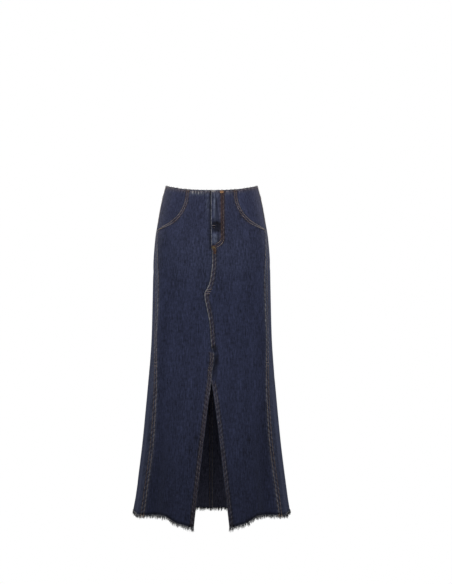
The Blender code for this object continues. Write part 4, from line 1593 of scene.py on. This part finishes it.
# %% Rows on the fronts, and along the waist
for word, outer, middle in SIDES:
    front, hip = f"front_{word}", f"hip_{word}"
    lots, grey_lots, worn_lots = [], [], []
    for distance, fade in zip(MOUTH_ROWS, (0.85, 0.45), strict=True):
        stops = (MOUTH_STOPS[0], MOUTH_TURN, MOUTH_FADE, MOUTH_STOPS[1])
        for *ends, worn in zip(stops, stops[1:], (0.0, fade, 1.1)):
            lots.append((row_down(front, outer, distance, *ends), worn))
    for distance, fade in SEAM_LINES:
        lots.append((row_down(front, outer, distance, *SEAM_STOPS), fade))
        lots.append((row_down(hip, 1 - middle, distance, *HIP_STOPS), fade))
    top = LAP_CHANGE + 0.004 if word == "right" else SLIT_TOP - 0.004
    for start, end, *fades in SLIT_FADES:
        for distance, fade in zip(SLIT_ROWS, fades, strict=True):
            grey_lots.append((row_down(front, middle, distance, start or top, end), fade))
    if word == "left":
        for table, straight, fade in ((J_OUTER, grey_lots, 0.30), (J_INNER, worn_lots, 0.0)):
            points, normals = curved_row(front, table, middle)
            bend = int(np.argmax(points[:, 2] < SIDE_RISE - J_BEND))
            straight.append(((points[: bend + 1], normals[: bend + 1]), fade))
            lots.append(((points[bend:], normals[bend:]), 0.90))
        worn_lots.append((row_down(front, middle, FLY_LINES[0], *FLY_SEAM_STOPS), 0.05))
        grey_lots.append((row_down(front, middle, FLY_LINES[1], *FLY_SEAM_STOPS), 0.42))
        thread_object("worn_stitches", sewn_rows(worn_lots, 41), worn_thread)
    thread_object(f"stitches_{word}", sewn_rows(lots, 11), tobacco)
    waist = [(row_across(panel, WAIST_ROW), 0.60) for panel in (front, hip)]
    waist.append((row_across(f"yoke_{word}", YOKE_WAIST_ROW), 0.60))
    rows = sewn_rows(waist, 51, pitch=WAIST_PITCH, radius=WAIST_THREAD, rough=3.0)
    thread_object(f"grey_stitches_{word}", sewn_rows(grey_lots, 31) + rows, grey_thread)

# %% Rows on the back
YOKE_HEIGHT = 0.055  # near the middle of each half
YOKE_STOP = 0.985  # the last share of a yoke's height that a row down it reaches
YOKE_SHARES = [1 - distance / YOKE_HEIGHT for distance in YOKE_SEAM_ROWS]

lots = []
for word, *_ in SIDES:
    lots += [(row_across(f"yoke_{word}", share), 0.60) for share in YOKE_SHARES]
for distance in BACK_ROWS:
    lots.append((row_down("back_right", 0, distance, YOKE_AT_SIDE + 0.001, HEM_STOP), 0.60))
    lots.append((row_down("yoke_right", 0, distance, 0.03, YOKE_STOP), 0.50))
thread_object("stitches_back", sewn_rows(lots, 61), tobacco)

# %% Rows inside
FELLED_THREAD = 0.00085  # the radius of the thread that fells the middle back seam

lots = []
for word, outer, middle in SIDES:
    front, hip, yoke = f"front_{word}", f"hip_{word}", f"yoke_{word}"
    for distance, fade in SEAM_LINES:
        lots.append((row_down(front, outer, distance, *SEAM_STOPS, True), fade))
        lots.append((row_down(hip, 1 - middle, distance, *HIP_STOPS, True), fade))
    for distance in MOUTH_ROWS:
        lots.append((row_down(front, outer, distance, *MOUTH_STOPS, True), 0.6))
    for distance in SLIT_ROWS:
        lots.append((row_down(front, middle, distance, SLIT_TOP, HEM_STOP, True), 0.5))
    for panel, below in ((front, WAIST_ROW), (hip, WAIST_ROW), (yoke, YOKE_WAIST_ROW)):
        lots.append((row_across(panel, below, True), 0.5))
    lots += [(row_across(yoke, share, True), 0.6) for share in YOKE_SHARES]
felled = []
for panel, top, stop, rows in (
    ("yoke_right", 0.02, YOKE_STOP, lots),
    ("back_right", YOKE_AT_SIDE + 0.002, HEM_STOP, felled),
):
    for distance, fade in zip(BACK_ROWS, (1.0, 0.10), strict=True):
        rows.append((row_down(panel, 0, distance, top, stop, True), fade))
inside_rows = sewn_rows(lots, 91, sides=4)
inside_rows += sewn_rows(felled, 91 + len(lots), radius=FELLED_THREAD, sides=4)
thread_object("stitches_inside", inside_rows, looper)

# %% Bar tacks
# Each tack's panel, row, distance from an edge, and which edge (0 its left, 1 its right),
# then its length, the breadth of its stitches, its turn in degrees and how faded it is.
TACKS = (
    # The fly: at the waist and over the zip's end.
    ("front_left", 0.0035, 0.0300, 0, 0.0095, 0.0034, 0, 0.0),
    ("front_left", 0.0072, 0.0300, 0, 0.0080, 0.0026, 2, 0.1),
    ("front_right", 0.1262, 0.0050, 0, 0.0085, 0.0012, 40, 0.9),
    ("front_left", 0.1262, 0.0050, 1, 0.0085, 0.0012, -40, 0.9),
)
BARS = (
    # Over the zip's end, and the ladder where the crotch seam turns.
    ("front_left", 0.1180, 0.0070, 0, 0.0090, 0.0010, 3, 0.70),
    ("front_left", 0.1250, 0.0075, 0, 0.0060, 0.0007, -3, 0.35),
    ("front_left", 0.2990, 0.0075, 0, 0.0120, 0.0012, 3, 0.75),
    ("front_left", 0.3050, 0.0078, 0, 0.0130, 0.0012, -2, 0.85),
    ("front_left", 0.3115, 0.0074, 0, 0.0135, 0.0014, 2, 0.70),
    # The slit's top and the pairs on the side seams.
    ("front_right", 0.5205, 0.0060, 1, 0.0120, 0.0010, -3, 0.9),
    ("front_right", 0.5265, 0.0062, 1, 0.0115, 0.0010, 2, 0.8),
    ("front_right", 0.5080, 0.0072, 0, 0.0130, 0.0012, 2, 0.75),
    ("front_right", 0.5175, 0.0072, 0, 0.0130, 0.0012, -2, 0.85),
    ("front_left", 0.5080, 0.0072, 1, 0.0130, 0.0012, -2, 0.80),
    ("front_left", 0.5175, 0.0072, 1, 0.0130, 0.0012, 3, 0.70),
)
FLY_FOOT = (
    # The wedge under the fly, which grows narrower downwards.
    ("front_left", 0.1765, 0.0062, 0, 0.0135, 0.0022, 2, 0.00),
    ("front_left", 0.1804, 0.0046, 0, 0.0092, 0.0044, -3, 0.85),
    ("front_left", 0.1846, 0.0062, 0, 0.0096, 0.0046, 3, 0.25),
    ("front_left", 0.1890, 0.0070, 0, 0.0080, 0.0046, -3, 0.00),
    ("front_left", 0.1934, 0.0070, 0, 0.0066, 0.0044, 3, 0.10),
    ("front_left", 0.1974, 0.0068, 0, 0.0048, 0.0040, -4, 0.00),
)
for name, table, material, seed in (
    ("bar_tacks", TACKS, tack_thread, 131),
    ("bars", BARS, grey_thread, 181),
    ("fly_foot", FLY_FOOT, worn_thread, 231),
):
    thread_object(name, [satin(*tack, seed + i) for i, tack in enumerate(table)], material)

# %% [markdown]
# ## Raw edges
#
# The hem is cut, not turned. Its crosswise threads have washed out and the lengthwise ones
# hang loose as a fringe, about a centimetre long. They cling together in uneven
# locks. Particle hair would give this, but hair has no place in a part that is kept as
# plain meshes, so each thread is a closed three-sided tube that starts inside the cloth,
# bends towards its lock and thins to its tip. The same function sets the short fluff of
# the raw waist and the loose ends of sewing thread at the hem.

# %% Loose threads
THREAD_PLACE = np.array((0.0, 0.36, 0.70, 1.0))
THREAD_TAPER = np.array((1.0, 0.95, 0.78, 0.35))

frayed = thread_material("frayed_warp", (0.040, 0.044, 0.058, 1), (0.40, 0.40, 0.40, 1))
tan_fluff = thread_material("waist_fluff", (0.045, 0.048, 0.065, 1), (0.42, 0.34, 0.28, 1))


def loose_threads(root, down, aside, through, length, sway, radius, tone):
    """Three-sided tubes. A tube's middle line leaves its root straight along down, and
    strays aside and through the cloth with the share of its length to the power 1.7."""
    t = THREAD_PLACE[None, :, None]
    spine = root[:, None] + down[:, None] * length[:, None, None] * t
    for direction, stray in zip((aside, through), sway, strict=True):
        spine = spine + direction[:, None] * stray[:, None, None] * t**1.7
    radius, along = radius[:, None] * THREAD_TAPER, length[:, None] * THREAD_PLACE
    return tubes(spine, aside, through, radius, along, tone, 3)


def edge_line(grid, last):
    """The middle line of a panel's raw edge, with its directions away from the cloth and
    through it, and how far along it each point lies."""
    one, two = (-1, -3) if last else (0, 2)
    middle, before = ((grid["outer"][i] + grid["inner"][i])[2:-2] / 2 for i in (one, two))
    return middle, unit(middle - before), grid["normal"][one, 2:-2], run_along(middle)


# %% The hem's fringe
FRINGE_PITCH = 0.00015
FRINGE_LENGTH = 0.0122
LOCK_WIDTH = (0.0018, 0.0052)


def fringe(name, replaced, grid, seed):
    """The fringe of one panel's hem. Threads stand a seventh of a millimetre apart. Each
    belongs to a lock, leans towards its middle and shares its length and sway."""
    chance = np.random.default_rng(seed)
    middle, away, normal, run = edge_line(grid, True)
    count = int(run[-1] / FRINGE_PITCH)
    places = (np.arange(count) + chance.uniform(0.1, 0.9, count)) * FRINGE_PITCH
    at = np.clip(places, 0, run[-1])
    root, down, through = (strung(values, run, at) for values in (middle, away, normal))
    down = unit(down)
    aside = unit(np.cross(through, down))
    sign = np.sign((strung(middle, run, at + 0.001) - root) @ aside.T.mean(1))
    edges = np.cumsum(chance.uniform(*LOCK_WIDTH, int(run[-1] / LOCK_WIDTH[0]) + 2))
    lock = np.searchsorted(edges, at)
    lock_middle = edges[lock] - 0.5 * np.diff(np.concatenate(([0], edges)))[lock]
    lock_length = chance.uniform(0.70, 1.16, len(edges) + 1)[lock]
    lock_sway = chance.normal(0, 0.0013, (2, len(edges) + 1))[:, lock]
    length = FRINGE_LENGTH * lock_length * chance.uniform(0.62, 1.12, count)
    length = length * np.where(chance.uniform(size=count) < 0.40, 0.55, 1.0)
    lean = (lock_middle - at) * chance.uniform(0.15, 0.55, count) * sign
    sway = (
        lean + lock_sway[0] + chance.normal(0, 0.0011, count),
        lock_sway[1] + chance.normal(0, 0.0009, count),
    )
    start = root - down * 0.0012 + through * chance.uniform(-0.0005, 0.0005, (count, 1))
    radius = chance.uniform(0.00022, 0.00036, count)
    pale = chance.uniform(size=count) < 0.22
    tone = np.where(pale, chance.uniform(0.4, 0.9, count), chance.uniform(0, 0.26, count))
    made = loose_threads(start, down, aside, through, length, sway, radius, tone)
    thing = thread_object(name, [made], frayed)
    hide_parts(replaced)
    return thing


hems = {
    f"fringe_{panel}": fringe(f"fringe_{panel}", f"fray_{panel}", panels[panel], 151 + i)
    for i, panel in enumerate(("front_right", "front_left", "back_right", "back_left"))
}

# %% Fluff on the raw waist
FLUFF_PITCH = 0.0007

lots = []
for i, panel in enumerate(name for name in panels if not name.startswith("back")):
    chance = np.random.default_rng(171 + i)
    middle, away, normal, run = edge_line(panels[panel], False)
    count = int(run[-1] / FLUFF_PITCH)
    at = chance.uniform(0, run[-1], count)
    root, up, through = (strung(values, run, at) for values in (middle, away, normal))
    aside = np.cross(through, up)
    sway = (chance.normal(0, 0.0009, count), chance.normal(0.0002, 0.0007, count))
    length = chance.uniform(0.0008, 0.0034, count) * (0.7 + 0.5 * np.sin(at / 0.0021 + i))
    root = root - up * 0.0006 + through * chance.uniform(-0.0005, 0.0006, (count, 1))
    radius = chance.uniform(0.00014, 0.00026, count)
    tone = 0.25 + 0.4 * np.sin(at / 0.0013 + 2 * i) + chance.normal(0, 0.25, count)
    tone = np.clip(tone, 0, 1)
    lots.append(loose_threads(root, up, aside, through, length, sway, radius, tone))
thread_object("waist_fluff", lots, tan_fluff)

# %% Loose ends of sewing thread at the hem
SEAM_AT_HEM = (SEAM["first_row"][-1], SEAM["second_row"][-1])
# A name, a front's edge, distances from it, how many hang there, the longest, the tone of the
# palest and the thread.
ENDS = (
    ("seam_thread_ends", "outer", SEAM_AT_HEM, 13, 0.0125, 0.6, tobacco),
    ("slit_thread_ends", "middle", (0.0016, *SLIT_ROWS), 12, 0.0165, 0.3, frayed),
)

for name, where, rows, count, longest, palest, material in ENDS:
    lots = []
    for i, (word, outer, middle) in enumerate(SIDES):
        chance, edge = np.random.default_rng(191 + i), outer if where == "outer" else middle
        for distance in rows:
            away = distance + chance.uniform(-0.0016, 0.0016, count)
            at_hem = np.full(count, HEM_STOP)
            point, normal = on_cloth(panels[f"front_{word}"], at_hem, away, edge)
            down = np.tile((0.0, 0.0, -1.0), (count, 1))
            aside = np.cross(normal, down)
            sway = (chance.normal(0, 0.0026, count), chance.normal(0.0006, 0.0012, count))
            length = chance.uniform(0.45 * longest, longest, count)
            radius = chance.uniform(0.00026, 0.00040, count)
            tone = chance.uniform(0, palest, count)
            lots.append(loose_threads(point, down, aside, normal, length, sway, radius, tone))
    thread_object(name, lots, material)

# %% [markdown]
# ## The zip and its shield
#
# Behind the fly lies the zip: two woven tapes with a chain of brass teeth, a slider near the
# top, and behind them the shield, a folded strip of denim that keeps the zip off the
# wearer. They are strips of the shared surface, set in by the depth of the plies before
# them, so they bend as the fly does.

# %% Tapes
TAPE = columns(("x", "face", "reverse"), (
    (-0.0110, -0.0016, -0.0024),
    (-0.0040, -0.0017, -0.0026),
    (0.0015, -0.0044, -0.0054),
    (0.0075, -0.0044, -0.0054),
    (0.0120, -0.0026, -0.0034),
    (0.0210, -0.0026, -0.0034),
))
HERRINGBONE = 0.002
TAPE_RIB = 0.0008


def strip(name, xs, rows, face, reverse, material):
    """A closed strip down the front between two faces, each a depth at every x."""
    row = rows[:, None]
    angle = angle_at(xs[None, :], row)
    drop = bent_drop(row, angle)
    sheets = [on_skirt(angle, drop, np.broadcast_to(at, drop.shape)) for at in (face, reverse)]
    thing = mesh_object(name, np.concatenate(sheets), face_list(*drop.shape), (material,))
    u, v = np.broadcast_to(xs, drop.shape), drop
    give_cloth_map(thing, np.concatenate((u, u)), np.concatenate((v, v)))
    for word, _ in REACHES_INSIDE:
        give_numbers(thing, word, np.zeros(2 * drop.size))
    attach(thing, "root")
    cloth[name] = thing
    print(f"{name}: {len(rows)} rows of {len(xs)} columns")
    return thing


def tape_material():
    """Herringbone tape: twill that turns back on itself every two millimetres."""
    material, tree, shader = new_material("zip_tape", 0.8, Sheen_Weight=0.1)
    across, down = map_lengths(tree)
    line = math_sum(tree, math_node(tree, "PINGPONG", across, HERRINGBONE), 1.4, down)
    rib = math_node(tree, "SINE", math_node(tree, "MULTIPLY", line, 2 * math.pi / TAPE_RIB))
    share = math_sum(tree, rib, 0.5, 0.5)
    tint = mixed(tree, share, (0.016, 0.018, 0.030, 1), (0.030, 0.033, 0.052, 1))
    give_surface(tree, shader, tint, rib, 0.4, 0.0002)
    return material


xs = np.linspace(TAPE["x"][0], TAPE["x"][-1], 33)
face, reverse = (np.interp(xs, TAPE["x"], TAPE[name]) for name in ("face", "reverse"))
zip_rows = np.linspace(0.0, FLY_BOTTOM, 60)
zip_tape = strip("zip_tapes", xs, zip_rows, face, reverse, tape_material())
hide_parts("zip")

# %% Teeth and slider
TOOTH_PITCH = 0.0014
TOOTH_SIZE = (0.0038, 0.0005)  # how long each is across the chain, and its radius
TOOTH_LEAN = 0.0007  # teeth sit to the left and to the right in turn
TOOTH_DEPTH = 0.0043
CHAIN_X = 0.0045
CHAIN_GAP = 0.004  # from the tape's two ends


def brass_material():
    """Brass that is worn brighter in places, by noise on the object's coordinates."""
    material, tree, shader = new_material("brass", 0.34, Metallic=1.0)
    place = node(tree, "TexCoord").outputs["Object"]
    rub = stretched_noise(tree, place, (900, 900, 900), detail=3.0)
    tint = mixed(tree, rub, (0.36, 0.22, 0.08, 1), (0.72, 0.52, 0.24, 1))
    tree.links.new(tint, shader.inputs["Base Color"])
    tree.links.new(math_sum(tree, rub, -0.3, 0.5), shader.inputs["Roughness"])
    return material


brass = brass_material()
teeth = np.arange(CHAIN_GAP, FLY_BOTTOM - CHAIN_GAP, TOOTH_PITCH)
lean = np.where(np.arange(len(teeth)) % 2, TOOTH_LEAN, -TOOTH_LEAN)
angle = angle_at(CHAIN_X + lean, teeth)
drop = bent_drop(teeth, angle)
middle = on_skirt(angle, drop, np.full_like(teeth, -TOOTH_DEPTH))
across = surface(angle + 1e-3, drop) - surface(angle - 1e-3, drop)
made = capsules(middle, across, outward(angle, drop), *TOOTH_SIZE, np.zeros_like(teeth))
thread_object("zip_teeth", [made], brass)
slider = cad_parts["zip_slider"].data.materials
slider.clear()
slider.append(brass)

# %% The shield, and the row that closes it, which shows from inside
SHIELD_X = (-0.016, 0.040)
SHIELD_FACE = -0.0058
SHIELD_REVERSE = SHIELD_FACE - 0.0020
SHIELD_END = 0.184
SHIELD_ROUND = 0.0007  # how far its folded edges fall away, over the next length
SHIELD_EDGE = 0.0015
SHIELD_ROW_IN = 0.0045  # from the shield's edges

xs = np.linspace(*SHIELD_X, 38)
edge_gap = np.minimum(xs - xs[0], xs[-1] - xs)
pillow = SHIELD_ROUND * np.clip(1 - edge_gap / SHIELD_EDGE, 0, 1) ** 2
shield_rows = np.linspace(0.0, SHIELD_END, 80)
shield_faces = (SHIELD_FACE - pillow, SHIELD_REVERSE + pillow)
shield = strip("shield", xs, shield_rows, *shield_faces, denim)
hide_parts("fly_shield")

left_x, right_x = SHIELD_X[0] + SHIELD_ROW_IN, SHIELD_X[1] - SHIELD_ROW_IN
foot = SHIELD_END - SHIELD_ROW_IN
down, over = np.linspace(0.002, foot, 130), np.linspace(left_x, right_x, 40)
row_x = np.concatenate((np.full_like(down, left_x), over, np.full_like(down, right_x)))
row_y = np.concatenate((down, np.full_like(over, foot), down[::-1]))
angle = angle_at(row_x, row_y)
drop = bent_drop(row_y, angle)
points = on_skirt(angle, drop, np.full_like(row_x, SHIELD_REVERSE))
closing = sewn((points, -outward(angle, drop)), 0.5, 251, sides=4)
thread_object("shield_stitches", [closing], looper)
